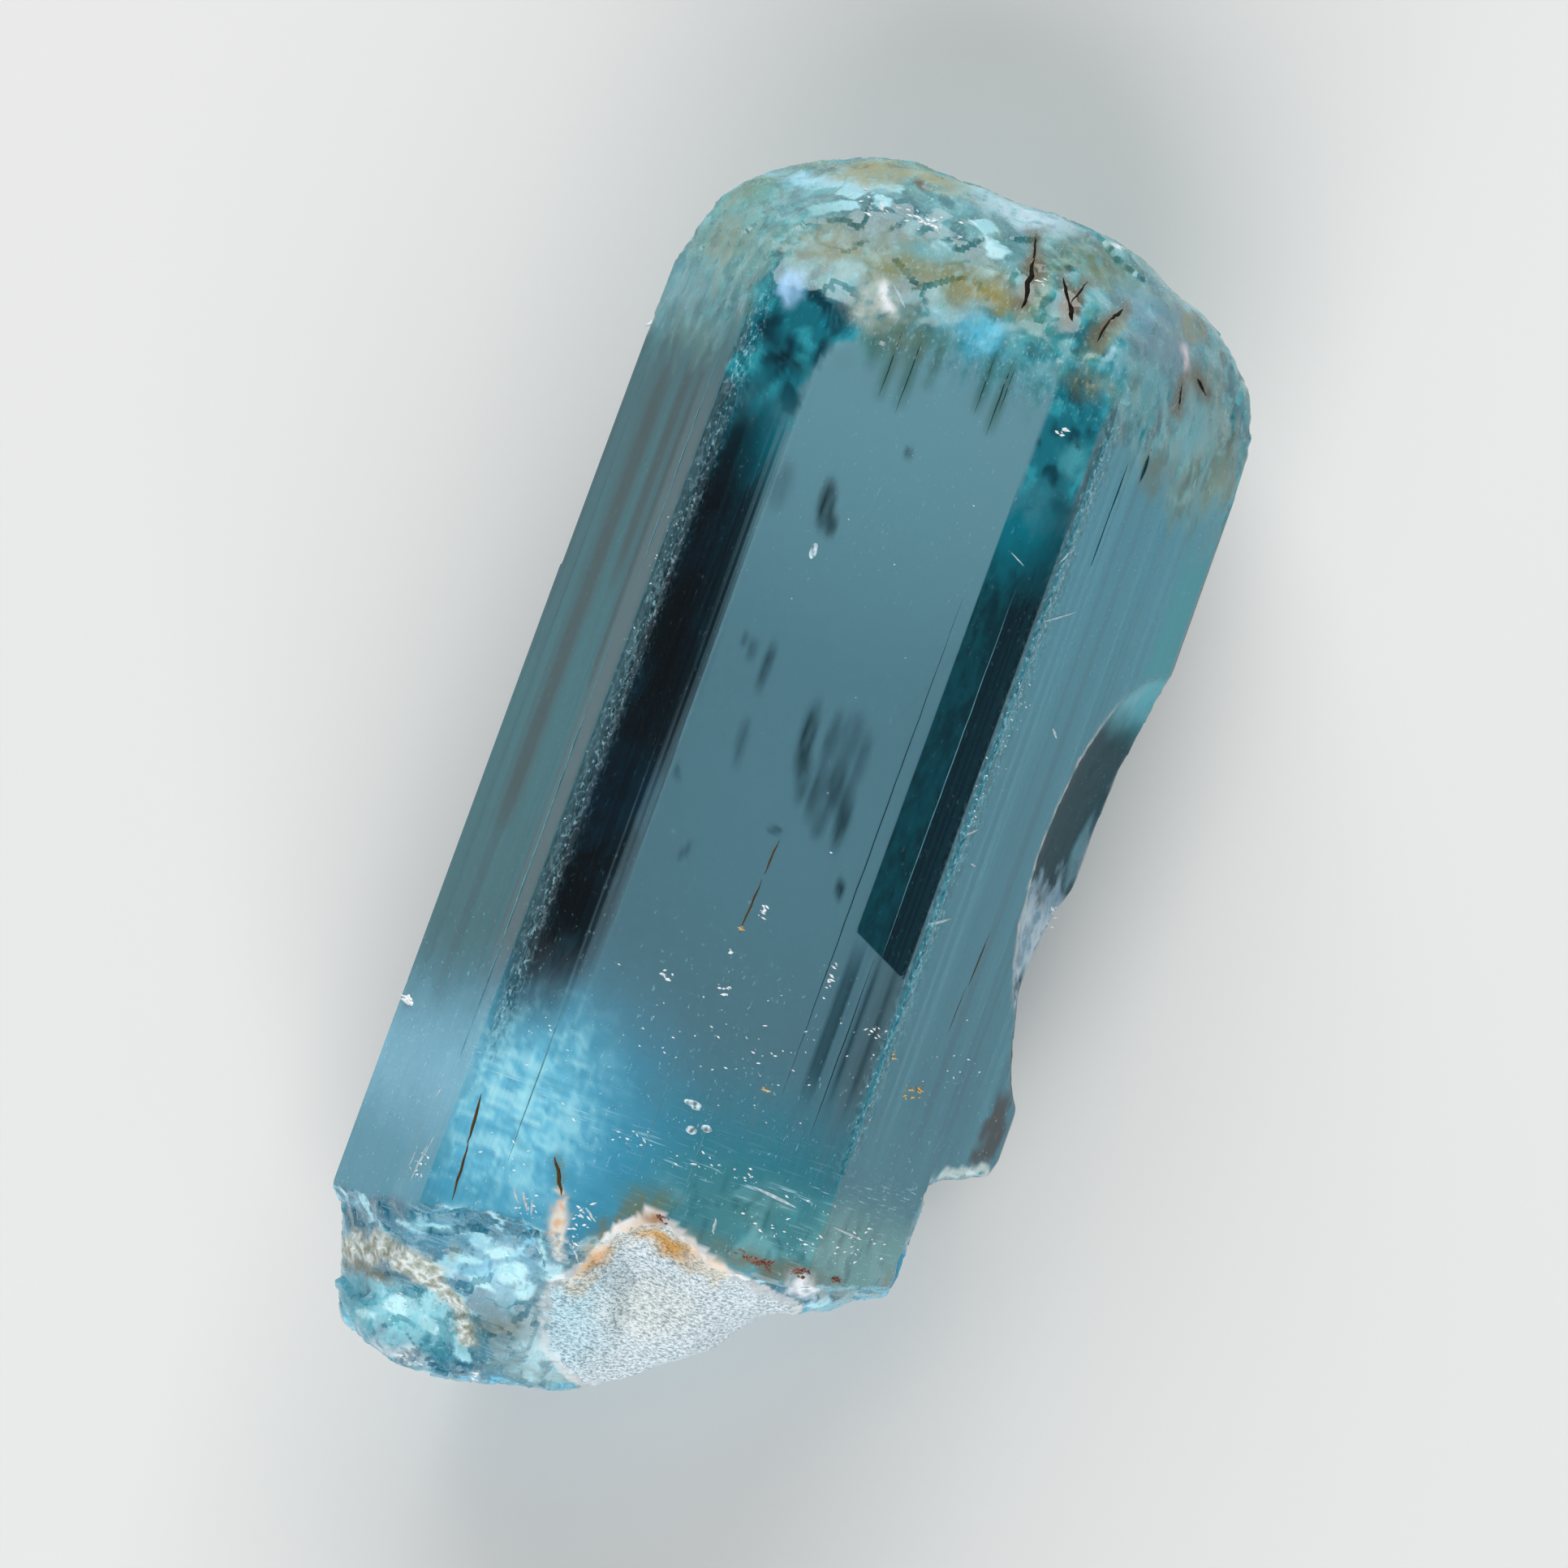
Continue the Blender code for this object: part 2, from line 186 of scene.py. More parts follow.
SMUDGES = (  # faint dark marks just under the top face: (x, y, across, along, turn, share)
    (-1.48, 5.75, 0.15, 0.45, 8, 1.0), (-1.25, 5.4, 0.09, 0.22, 0, 0.8),
    (-2.4, 5.8, 0.2, 0.45, 0, 0.35), (-0.32, 1.5, 0.14, 0.65, 3, 0.95),
    (-0.12, 0.75, 0.12, 0.45, 6, 0.75), (0.12, 1.6, 0.12, 0.55, 2, 0.6),
    (0.18, 0.6, 0.12, 0.55, 4, 0.7), (0.45, 1.75, 0.22, 0.5, 0, 0.45),
    (0.5, 0.8, 0.2, 0.5, 4, 0.75), (0.8, 1.4, 0.12, 0.55, 2, 0.5), (0.84, 0.3, 0.13, 0.6, 5, 0.85),
    (0.45, 0.05, 0.14, 0.3, 5, 0.55), (-1.5, 2.5, 0.1, 0.45, 2, 0.8),
    (-1.85, 2.7, 0.07, 0.22, 0, 0.6), (-2.05, 2.85, 0.06, 0.15, 0, 0.7),
    (-1.45, 1.0, 0.09, 0.45, 5, 0.5), (1.24, -0.98, 0.07, 0.2, 8, 1.0),
    (-2.4, 0.05, 0.06, 0.16, 20, 0.7), (-0.3, -0.35, 0.14, 0.07, 20, 0.8),
    (-1.75, -1.3, 0.06, 0.22, -20, 0.5), (-0.35, 7.2, 0.08, 0.12, 0, 0.6),
)
POLISH = 0.04  # the roughness of a polished face
BERYL_IOR = 1.577
BERYL_ABSORPTION = (0.08, 0.56, 0.66, 1.0)
BERYL_DENSITY = 66.0
FAR = 1e9  # further than any place here


# ---------- small helpers

def clamp01(t):
    return np.clip(t, 0.0, 1.0)


def rise(values, start, end):
    """0 before start, 1 after end and smooth between them, for an array or a number."""
    t = clamp01((values - start) / (end - start))
    return t * t * (3 - 2 * t)


def between(values, low, high, soft):
    """1 between low and high, with soft edges."""
    return rise(values, low - soft, low + soft) * (1 - rise(values, high - soft, high + soft))


def spot(points, x, y, across, along, turn=0.0, soft=0.5):
    """A soft ellipse seen from above; turn is in degrees, anticlockwise."""
    c, s = math.cos(math.radians(turn)), math.sin(math.radians(turn))
    dx, dy = points[:, 0] - x, points[:, 1] - y
    u, v = (dx * c + dy * s) / across, (-dx * s + dy * c) / along
    return 1 - rise(np.sqrt(u * u + v * v), 1 - soft, 1 + soft)


def stroke(points, path, width, soft=0.6):
    """A soft line through the (x, y) points of a path, seen from above."""
    nearest = np.full(len(points), FAR)
    for (xa, ya), (xb, yb) in zip(path, path[1:]):
        dx, dy = xb - xa, yb - ya
        t = clamp01(((points[:, 0] - xa) * dx + (points[:, 1] - ya) * dy) / (dx * dx + dy * dy))
        away = np.hypot(points[:, 0] - xa - t * dx, points[:, 1] - ya - t * dy)
        nearest = np.minimum(nearest, away)
    return 1 - rise(nearest / width, 1 - soft, 1 + soft)


def inside_outline(points, outline):
    """The distance inside a closed outline seen from above, negative outside it."""
    x, y = points[:, 0], points[:, 1]
    inside = np.zeros(len(points), dtype=bool)
    nearest = np.full(len(points), FAR)
    for (xa, ya), (xb, yb) in zip(outline, outline[1:] + outline[:1]):
        crosses = ((ya > y) != (yb > y)) & (x < (xb - xa) * (y - ya) / (yb - ya + 1e-12) + xa)
        inside ^= crosses
        dx, dy = xb - xa, yb - ya
        t = clamp01(((x - xa) * dx + (y - ya) * dy) / (dx * dx + dy * dy))
        nearest = np.minimum(nearest, np.hypot(x - xa - t * dx, y - ya - t * dy))
    return np.where(inside, nearest, -nearest)


def noise_of(points, stretch, octaves=3, offset=0.0):
    """Fractal noise at every point, about -1 to 1; stretch is the size of its lumps in X, Y, Z."""
    places = points / stretch + (offset, -offset, 0.0)
    return np.array([noise.fractal(Vector(place), 1.0, 2.0, octaves) for place in places])


def facets_of(points, size, seed):
    """A surface of small tilted flats: its height, about -0.5 to 0.5, and each flat's number."""
    heights, numbers = np.empty(len(points)), np.empty(len(points))
    shift = Vector((seed * 1.7, seed * 3.1, seed * 5.3))
    for k, p in enumerate(points):
        place = Vector(p) / size + shift
        centre = noise.voronoi(place)[1][0]
        tilt = noise.cell_vector(centre * 91.7)
        heights[k] = (place - centre).dot(tilt - Vector((0.5, 0.5, 0.5)))
        numbers[k] = noise.cell(centre * 53.9)
    return heights, numbers


def ragged(points, amount=0.16):
    """The points pushed about sideways, so that what is painted by them has uneven edges."""
    moved = points.copy()
    for axis, offset in ((0, 11.0), (1, 23.0)):
        moved[:, axis] += amount * noise_of(points, (0.45, 0.6, 0.6), 3, offset)
    return moved


# ---------- the skin's shape

def mesh_in_mm(node):
    """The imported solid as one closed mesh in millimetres."""
    mesh = node.data.copy()
    mesh.materials.clear()
    bm = bmesh.new()
    bm.from_mesh(mesh)
    bmesh.ops.remove_doubles(bm, verts=bm.verts, dist=1e-7)
    bmesh.ops.scale(bm, vec=(1 / MM,) * 3, verts=bm.verts)
    bm.to_mesh(mesh)
    tree = BVHTree.FromBMesh(bm)
    bm.free()
    return mesh, tree


def new_object(name, data):
    obj = bpy.data.objects.new(name, data)
    bpy.context.scene.collection.objects.link(obj)
    return obj


def modified(mesh, kind, group=(), **settings):
    """The mesh after one modifier, which can be kept to a group of its vertices."""
    obj = new_object("skin_draft", mesh)
    modifier = obj.modifiers.new("once", kind)
    for key, value in settings.items():
        setattr(modifier, key, value)
    if len(group):
        obj.vertex_groups.new(name="kept_to").add(group, 1.0, 'REPLACE')
        modifier.vertex_group = "kept_to"
    depsgraph = bpy.context.evaluated_depsgraph_get()
    made = bpy.data.meshes.new_from_object(obj.evaluated_get(depsgraph))
    bpy.data.objects.remove(obj)
    return made


def remeshed(mesh):
    """An even, fine mesh of the same shape, coarser on the underside."""
    fine = modified(mesh, 'REMESH', mode='VOXEL', voxel_size=VOXEL, adaptivity=0.0)
    under = np.flatnonzero(vectors(fine.vertices, "co")[:, 2] < UNDERSIDE_Z).tolist()
    return modified(fine, 'DECIMATE', under, ratio=UNDERSIDE_RATIO)


def vectors(items, what):
    """One row for each vertex or face: its "co", "center" or "normal"."""
    flat = np.empty(len(items) * 3, dtype=np.float32)
    items.foreach_get(what, flat)
    return flat.reshape(-1, 3).astype(float)


def set_positions(mesh, points):
    mesh.vertices.foreach_set("co", points.astype(np.float32).ravel())
    mesh.update()


def edge_pairs(mesh):
    flat = np.empty(len(mesh.edges) * 2, dtype=np.int32)
    mesh.edges.foreach_get("vertices", flat)
    return flat.reshape(-1, 2)


def averaged(values, edges, rounds, weight=None):
    """Each vertex's value blended with its neighbours', so many times."""
    values = values.copy()
    count = np.bincount(edges.ravel(), minlength=len(values))
    shape = (-1,) + (1,) * (values.ndim - 1)
    for _ in range(rounds):
        total = np.zeros_like(values)
        np.add.at(total, edges[:, 0], values[edges[:, 1]])
        np.add.at(total, edges[:, 1], values[edges[:, 0]])
        mean = total / np.maximum(count, 1).reshape(shape)
        share = 0.5 if weight is None else 0.5 * weight.reshape(shape)
        values += (mean - values) * share
    return values


def onto_solid(points, tree):
    """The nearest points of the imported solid, and its normals there."""
    places, facings = np.empty_like(points), np.empty_like(points)
    for k, p in enumerate(points):
        place, facing, _, _ = tree.find_nearest(p)
        places[k], facings[k] = place, facing
    return places, facings


def on_prism(facings):
    """True where a surface faces the way one of the prism's flat faces does."""
    angles = np.radians(PRISM_DIRECTIONS)
    prism = np.stack([np.cos(angles), np.zeros(len(angles)), np.sin(angles)], axis=1)
    return (facings @ prism.T).max(axis=1) > SAME_WAY


def zones(points, facings, edges):
    """Soft masks of the crystal's surfaces, cut off where they would run along the prism."""
    x, y = points[:, 0], points[:, 1]
    rough = ~on_prism(facings)
    masks = {
        "tip": rough & (y > TIP_Y),
        "flake": rough & (x > FLAKE_X) & (y < FLAKE_TOP_Y) & (y > LEDGE_TOP_Y),
        "ledge": rough & (x > FLAKE_X) & (y <= LEDGE_TOP_Y) & (y > BREAK_TOP_Y),
        "break": rough & (y < BREAK_TOP_Y),
    }
    soft = {name: averaged(mask.astype(float), edges, 2) for name, mask in masks.items()}
    soft["tip"] *= rise(y, 7.2, TIP_Y)
    soft["break"] *= rise(-y, 5.7, -BREAK_TOP_Y)
    soft["flake_rim"] = averaged(masks["flake"].astype(float), edges, 6)
    return soft


def ridge_lines(points):
    """Nearness, 0 to 1, to the prism's two long upper ridges."""
    left = np.exp(-((points[:, 0] - LEFT_RIDGE_X - 0.08) / 0.2) ** 2)
    right = np.exp(-((points[:, 0] - RIGHT_RIDGE_X - 0.14) / 0.17) ** 2)
    upper = rise(points[:, 2], TOP_Z - 0.8, TOP_Z - 0.4)
    return left * upper, right * upper


def relief(points, masks):
    """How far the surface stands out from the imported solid, and a number for each of its flats."""
    y = points[:, 1]
    left, right = ridge_lines(points)
    ridge_noise = noise_of(points, (0.12, 0.35, 0.3), 2)
    etch = (left + right) * between(y, -6.5, 9.5, 1.0) * (0.01 * ridge_noise - 0.006)
    growth = 0.003 * noise_of(points, (0.4, 12.0, 0.4), 2, 4.3)
    growth = growth * (1 - masks["tip"] - masks["break"])
    growth = growth * rise(points[:, 2], UNDERSIDE_Z, UNDERSIDE_Z + 0.5)
    coarse, coarse_number = facets_of(points, 0.95, 1)
    fine, fine_number = facets_of(points, 0.42, 2)
    smooth_spot = spot(points, 3.3, 11.0, 1.3, 1.0, -20, 0.4)
    tip = 0.11 * coarse + 0.05 * fine + 0.04 * noise_of(points, (0.9, 1.6, 0.9), 3, 2.0)
    tip = tip * (1 - 0.8 * smooth_spot)
    hackle = 0.22 * coarse + 0.11 * fine + 0.03 * noise_of(points, (0.5, 0.18, 0.5), 2, 7.0)
    patch = rise(inside_outline(points, PATCH), 0.0, 0.2)
    hackle = hackle * (1 - 0.8 * patch) + 0.025 * patch * noise_of(points, (0.3, 0.1, 0.3), 2, 41.0)
    ripple = 0.02 * np.sin(np.hypot(points[:, 0] - 6.5, (y - 1.2) * 0.5) * 9.0) + 0.04 * fine
    height = (etch + growth + tip * masks["tip"] + hackle * masks["break"]
              + ripple * masks["flake"] + 0.05 * fine * masks["ledge"])
    return height, coarse_number, fine_number


def crystal_skin():
    """The fine skin as a mesh in millimetres, with its zones and the numbers of its flats."""
    solid, tree = mesh_in_mm(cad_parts[NODE])
    mesh = remeshed(solid)
    edges = edge_pairs(mesh)
    points, facings = onto_solid(vectors(mesh.vertices, "co"), tree)
    masks = zones(points, facings, edges)
    rough = clamp01(masks["tip"] + masks["break"] + 0.6 * masks["flake"])
    points = averaged(points, edges, SMOOTHING_ROUNDS, rough)
    set_positions(mesh, points)
    out = vectors(mesh.vertices, "normal")
    height, masks["coarse"], masks["fine"] = relief(points, masks)
    points = points + out * height[:, None]
    points[:, 2] = np.maximum(points[:, 2], 0.0)
    set_positions(mesh, points)
    return mesh, points, out, masks


# ---------- the skin's colours
# points are the skin's own, p are the same points pushed about, and up is 1 where it faces up.

class Paint:
    """Colour, clearness and roughness at every point of the skin, laid on in coats."""

    FULL = 1.12  # a coat's weight and its clearness add up to this, so even a clear one counts

    def __init__(self, count):
        self.colour = np.ones((count, 3))
        self.clear = np.ones(count)
        self.rough = np.full(count, POLISH)

    def lay(self, mask, colour=None, clear=None, rough=None):
        """Lays a coat over what is there; the cloudier of the two gives more of the colour."""
        mask = clamp01(mask)
        if colour is not None:
            coat = (self.FULL - (self.clear if clear is None else clear)) * mask
            share = coat / (coat + (self.FULL - self.clear) * (1 - mask) + 1e-9)
            self.colour += (np.array(colour) - self.colour) * share[:, None]
        if clear is not None:
            self.clear += (clear - self.clear) * mask
        if rough is not None:
            self.rough += (rough - self.rough) * mask


def paint_patches(lay, p, where, patches):
    """The patches of a list, grainy at their edges; a cloudy one is also rough."""
    where = where * clamp01(0.92 + 0.9 * noise_of(p, (0.13, 0.26, 0.2), 3, 51.0))
    for x, y, across, along, turn, colour, clear, share in patches:
        mask = where * spot(p, x, y, across, along, turn, 0.75 if across > 0.4 else 0.5) * share
        lay(mask, colour, clear, 0.6 - 0.6 * clear)


def paint_faces(lay, points, up):
    """The prism's faces: clear, grey on the left, hazy with painted light in the middle, bluer on
    the right.
    """
    x, y = points[:, 0], points[:, 1]
    streak = noise_of(points, (0.16, 60.0, 0.16), 3, 3.45)
    left = (x < LEFT_RIDGE_X - 0.1) * up
    lay(left, (0.0, 0.32, 0.38), 0.78)
    lay(left * rise(streak, 0.0, 0.5) * 0.5, (0.0, 0.14, 0.17))
    pale = between(x, -4.5, -4.1, 0.08) * between(y, -6.5, 7.0, 1.5) * up
    lay(pale * 0.8, (0.2, 0.3, 0.32), 0.8)
    for at_x, width, top, low in LEFT_STRIPES:
        dark = stroke(points, ((at_x, top), (at_x, low)), width)
        lay(left * dark * between(y, low, top - 0.6, 1.0), (0.0, 0.12, 0.14), 0.85)
    middle = between(x, -3.0, 2.6, 0.5) * up
    lay(middle * (0.36 + 0.14 * rise(y, 1.0, 8.0)), (0.12, 0.54, 0.72), 0.55)
    # Painted light: the middle grows paler towards the tip, as if lit from the bright ground below.
    lay(middle * rise(y, 2.0, 8.5) * 0.55, (0.26, 0.54, 0.62), 0.42)
    # Painted shade: the dim lower end of the right dark band.
    under = between(x, 1.86, 2.9, 0.06) * between(y, -4.8, -2.0, 0.6) * up
    lay(under * rise(streak, -0.2, 0.25) * 0.8, (0.0, 0.05, 0.08), 0.9)
    right = (x > RIGHT_RIDGE_X + 0.1) * up
    lay(right, (0.04, 0.5, 0.66))
    lay(right * (0.4 + 0.35 * rise(y, 1.0, 7.5)), (0.03, 0.54, 0.76), 0.5)
    lay(right * rise(streak, 0.1, 0.5) * 0.5, (0.02, 0.3, 0.4))
    lay(right * rise(-streak, 0.1, 0.5) * 0.35, (0.12, 0.6, 0.74), 0.5)
    edge = between(x, 5.35, 6.1, 0.12) * between(y, 4.6, 8.0, 0.5) * up
    lay(edge, (0.0, 0.44, 0.54), 0.4)


def paint_smudges(lay, p, up):
    """The faint dark marks under the top face, streaked along the crystal."""
    streak = rise(noise_of(p, (0.1, 0.8, 0.3), 3, 8.0), -0.5, 0.3)
    for x, y, across, along, turn, share in SMUDGES:
        mask = spot(p, x, y, across, along, turn, 0.55) * up * share
        lay(mask * (0.65 + 0.35 * streak), (0.01, 0.018, 0.022))


def paint_shade_band_tops(lay, points, p, up):
    """Painted shade and light: the teal tops of the two dark bands, where the far side of the tip
    shows through.
    """
    mottle = noise_of(p, (0.45, 0.7, 0.5), 3, 33.0)
    top = rise(points[:, 1], 6.4, 7.8) * up
    for where, outline in ((p, LEFT_SHADE_BAND), (points, RIGHT_SHADE_BAND)):
        inside = rise(inside_outline(where, outline), 0.0, 0.1) * top
        lay(inside * 0.95, (0.0, 0.3, 0.4), 0.6, 0.1)
        lay(inside * rise(mottle, 0.15, 0.45) * 0.7, (0.05, 0.54, 0.64), 0.4)
        lay(inside * rise(-mottle, 0.1, 0.35) * 0.85, (0.0, 0.09, 0.14), 0.85)


def paint_ridges(lay, points):
    """The etched ridges scatter light: grey-teal on the left, paler on the right."""
    left, right = ridge_lines(points)
    along = between(points[:, 1], -5.5, 9.0, 0.8)
    lay(left * along * 0.6, (0.0, 0.16, 0.21), 0.7, 0.2)
    lay(right * along * 0.75, (0.03, 0.4, 0.52), 0.5, 0.2)


def paint_broken_zone(lay, p, up):
    """Below the healed crack the beryl is full of fractures and scatters light."""
    x, y = p[:, 0], p[:, 1]
    wisps = noise_of(p, (0.8, 0.6, 0.5), 4, 5.0)
    brushed = noise_of(p, (0.14, 1.2, 0.5), 3, 15.0)
    across = noise_of(p, (1.3, 0.13, 0.5), 3, 25.0)
    fade = (1 - rise(y + 0.35 * brushed, -7.4, -4.0)) * up
    right = rise(x, -1.6, 2.2)
    lay(fade * 0.85, (0.03, 0.4, 0.6), 0.55, 0.1)
    lay(fade * right * 0.8, (0.05, 0.34, 0.4), 0.55, 0.1)
    low = (1 - rise(y + 0.2 * wisps, -7.4, -6.2)) * up
    lay(low * right * 0.7, (0.12, 0.36, 0.37), 0.38, 0.15)
    lay(low * rise(x, 2.8, 3.4) * 0.85, (0.16, 0.46, 0.46), 0.25, 0.2)
    lay(low * right * rise(wisps, 0.05, 0.4) * 0.6, (0.26, 0.56, 0.58), 0.25, 0.2)
    lay(low * right * rise(-brushed, 0.2, 0.45) * 0.5, (0.02, 0.16, 0.19), 0.6)
    cloud = spot(p, -2.7, -7.2, 1.9, 2.2, soft=0.95) * up
    lay(cloud * 0.8, (0.11, 0.54, 0.84), 0.35, 0.15)
    glow = spot(p, -3.1, -6.9, 1.2, 1.6, soft=0.9) * up
    lay(glow * (0.7 + 0.3 * wisps), (0.24, 0.76, 1.0), 0.18, 0.2)
    lay(glow * rise(brushed, -0.1, 0.4) * 0.6, (0.42, 0.9, 1.0), 0.1, 0.2)
    lay(glow * rise(across, 0.1, 0.4) * 0.45, (0.54, 0.95, 1.0), 0.08, 0.2)
    lay(cloud * rise(-across, 0.1, 0.4) * 0.35, (0.04, 0.36, 0.58), 0.5)
    left = fade * (1 - rise(x, LEFT_RIDGE_X - 0.3, LEFT_RIDGE_X))
    lay(left * 0.85, (0.12, 0.46, 0.62), 0.38, 0.12)
    pale = left * between(y, -7.7, -5.6, 0.9)
    lay(pale * (0.75 + 0.25 * brushed), (0.26, 0.66, 0.88), 0.25, 0.2)


def paint_tip(lay, points, p, up, masks):
    """The etched termination: pale and translucent, stained beige and olive by iron, with painted
    glints and shade.
    """
    x, y = p[:, 0], p[:, 1]
    mottle = noise_of(p, (0.9, 1.2, 0.9), 3, 1.0)
    small = noise_of(p, (0.28, 0.42, 0.4), 3, 61.0) * (0.45 + 0.55 * up)
    brushed = noise_of(p, (0.13, 1.6, 0.5), 3, 19.0)
    start = 9.35 - 1.4 * rise(np.abs(x), 2.2, 5.5)
    zone = rise(y + 0.6 * brushed, start - 0.7, start + 0.9)
    lay(zone, (0.08, 0.54, 0.6), 0.4, 0.14)
    lay(zone * rise(mottle, 0.0, 0.5) * 0.75, (0.22, 0.34, 0.19), 0.35, 0.2)
    lay(zone * rise(-mottle, 0.0, 0.5) * 0.8, (0.03, 0.36, 0.46), 0.55, 0.1)
    lay(zone * rise(small, 0.15, 0.4) * 0.55, (0.4, 0.74, 0.8), 0.25, 0.2)
    lay(zone * rise(-small, 0.15, 0.4) * 0.65, (0.01, 0.14, 0.17), 0.7, 0.12)
    shoulders = rise(np.abs(x), 3.6, 4.4) * (1 - rise(y, 10.4, 11.4))
    streaky = np.maximum(shoulders, 1 - rise(y, 8.8, 10.6))
    lay(zone * rise(brushed, 0.05, 0.3) * streaky * 0.8, (0.03, 0.24, 0.28), 0.6)
    lay(zone * rise(-brushed, 0.1, 0.35) * streaky * 0.7, (0.3, 0.42, 0.38), 0.4)
    # Painted light and shade: on the glassy top some flats, by their numbers, are lit bright and
    # others shaded dark.
    glassy = spot(points, -1.7, 11.45, 2.2, 0.65, 4, 0.6)
    lay(glassy * 0.7, (0.26, 0.58, 0.62), 0.55, 0.1)
    lay(glassy * rise(masks["fine"], 0.62, 0.72), (0.42, 0.8, 0.88), 0.2, 0.15)
    lay(glassy * rise(-masks["fine"], -0.22, -0.12) * 0.7, (0.06, 0.28, 0.32), 0.7, 0.1)
    for at_x, width, low in TIP_STREAKS:
        streak = stroke(points, ((at_x, STREAK_TOP_Y), (at_x, low)), width, 0.9)
        lay(streak * between(y, low, STREAK_TOP_Y, 0.5) * up * 0.7, (0.05, 0.16, 0.12), 0.45)
    paint_shade_band_tops(lay, points, p, up)
    paint_patches(lay, p, rise(y, 6.6, 7.4) * up, TIP_PATCHES)
    for from_x, from_y, to_x, to_y, _ in THREADS["tip_cracks"][1]:
        stain = stroke(p, ((from_x, from_y), (to_x, to_y)), 0.15, 0.9)
        lay(stain * up * 0.8, (0.17, 0.13, 0.06), 0.4)


def paint_break(lay, points, p, up, masks):
    """The break: icy blue and hackly, with a shell-shaped scoop, iron stains and painted glints and
    shade.
    """
    where, y = masks["break"], points[:, 1]
    blotch = noise_of(p, (0.5, 0.4, 0.5), 3, 71.0)
    lay(where, (0.2, 0.68, 0.9), 0.4, 0.12)
    # Painted light and shade: by their numbers, some flats of the break are lit bright and some
    # shaded dark.
    lit_and_shaded = where * (0.2 + 0.8 * up * rise(points[:, 2], 4.5, 6.0))
    lay(lit_and_shaded * rise(-masks["coarse"], -0.36, -0.32) * 0.85, (0.01, 0.2, 0.34), 0.65, 0.08)
    lay(lit_and_shaded * rise(masks["fine"], 0.6, 0.63) * 0.95, (0.46, 0.88, 1.0), 0.1, 0.2)
    lay(lit_and_shaded * rise(-masks["fine"], -0.16, -0.13) * 0.8, (0.02, 0.28, 0.44), 0.6, 0.08)
    lay(where * rise(blotch, 0.0, 0.5) * 0.4, (0.46, 0.78, 0.9), 0.3, 0.2)
    low = rise(-p[:, 1], 7.2, 7.9) * up
    paint_patches(lay, p, low, BREAK_PATCHES)
    wide = 1 + 0.5 * noise_of(p, (0.3, 0.3, 0.3), 2, 81.0)
    grain = noise_of(points, (0.13, 0.13, 0.2), 2, 91.0)
    rim = np.maximum(stroke(p, SHELL_RIM, 0.17, 0.5), stroke(p, SHELL_RIM[:4], 0.27, 0.4)) * low
    lay(rim * 0.95, (0.5, 0.53, 0.44), 0.1, 0.5)
    lay(rim * rise(grain, 0.0, 0.2) * 0.95, (0.88, 0.93, 0.9), 0.05, 0.5)
    lay(rim * rise(-grain, 0.15, 0.3) * 0.8, (0.28, 0.27, 0.15), 0.2, 0.4)
    flame = spot(points, -1.58, -8.75, 0.17, 0.42, 14, 0.5)
    flame = np.maximum(stroke(p, FLAME, 0.09, 0.8), flame) * low * rise(grain, -0.5, -0.25)
    lay(flame, (0.84, 0.78, 0.68), 0.08, 0.4)
    lay(flame * rise(-grain, -0.1, 0.1) * (y > -8.95) * 0.9, (0.85, 0.45, 0.22), 0.1, 0.4)
    # Painted highlights on the bright flats.
    for flat in LIT_FLATS:
        lay(spot(points, *flat, 0.15) * where * 0.9, (0.5, 0.92, 1.0), 0.08, 0.1)
    inner = inside_outline(points, PATCH)
    lay((inner > -0.15) * np.maximum(masks["patch_side"], low), (1.0, 1.0, 1.0))
    lay(spot(p, -0.8, -10.4, 0.7, 1.1, -10, 0.8) * low * 0.8, (0.66, 0.93, 1.0))
    lay(spot(p, 0.6, -9.7, 0.9, 0.5, 20, 0.8) * low * 0.6, (1.0, 0.92, 0.8))
    orange = stroke(p, ORANGE_RIM, 0.2, 0.8) * low * rise(wide, 0.6, 1.2)
    lay(orange * 0.9, (1.0, 0.8, 0.6), 0.12)
    lay(spot(p, 0.42, -8.38, 0.5, 0.15, -8, 0.7) * low, (0.98, 0.44, 0.08), 0.1)
    lay(spot(p, -0.72, -9.15, 0.12, 0.34, -18, 0.7) * low * 0.8, (0.85, 0.42, 0.12), 0.15)
    lay(spot(p, 0.1, -7.98, 0.26, 0.12, 10, 0.7) * low, (0.5, 0.26, 0.1), 0.2)


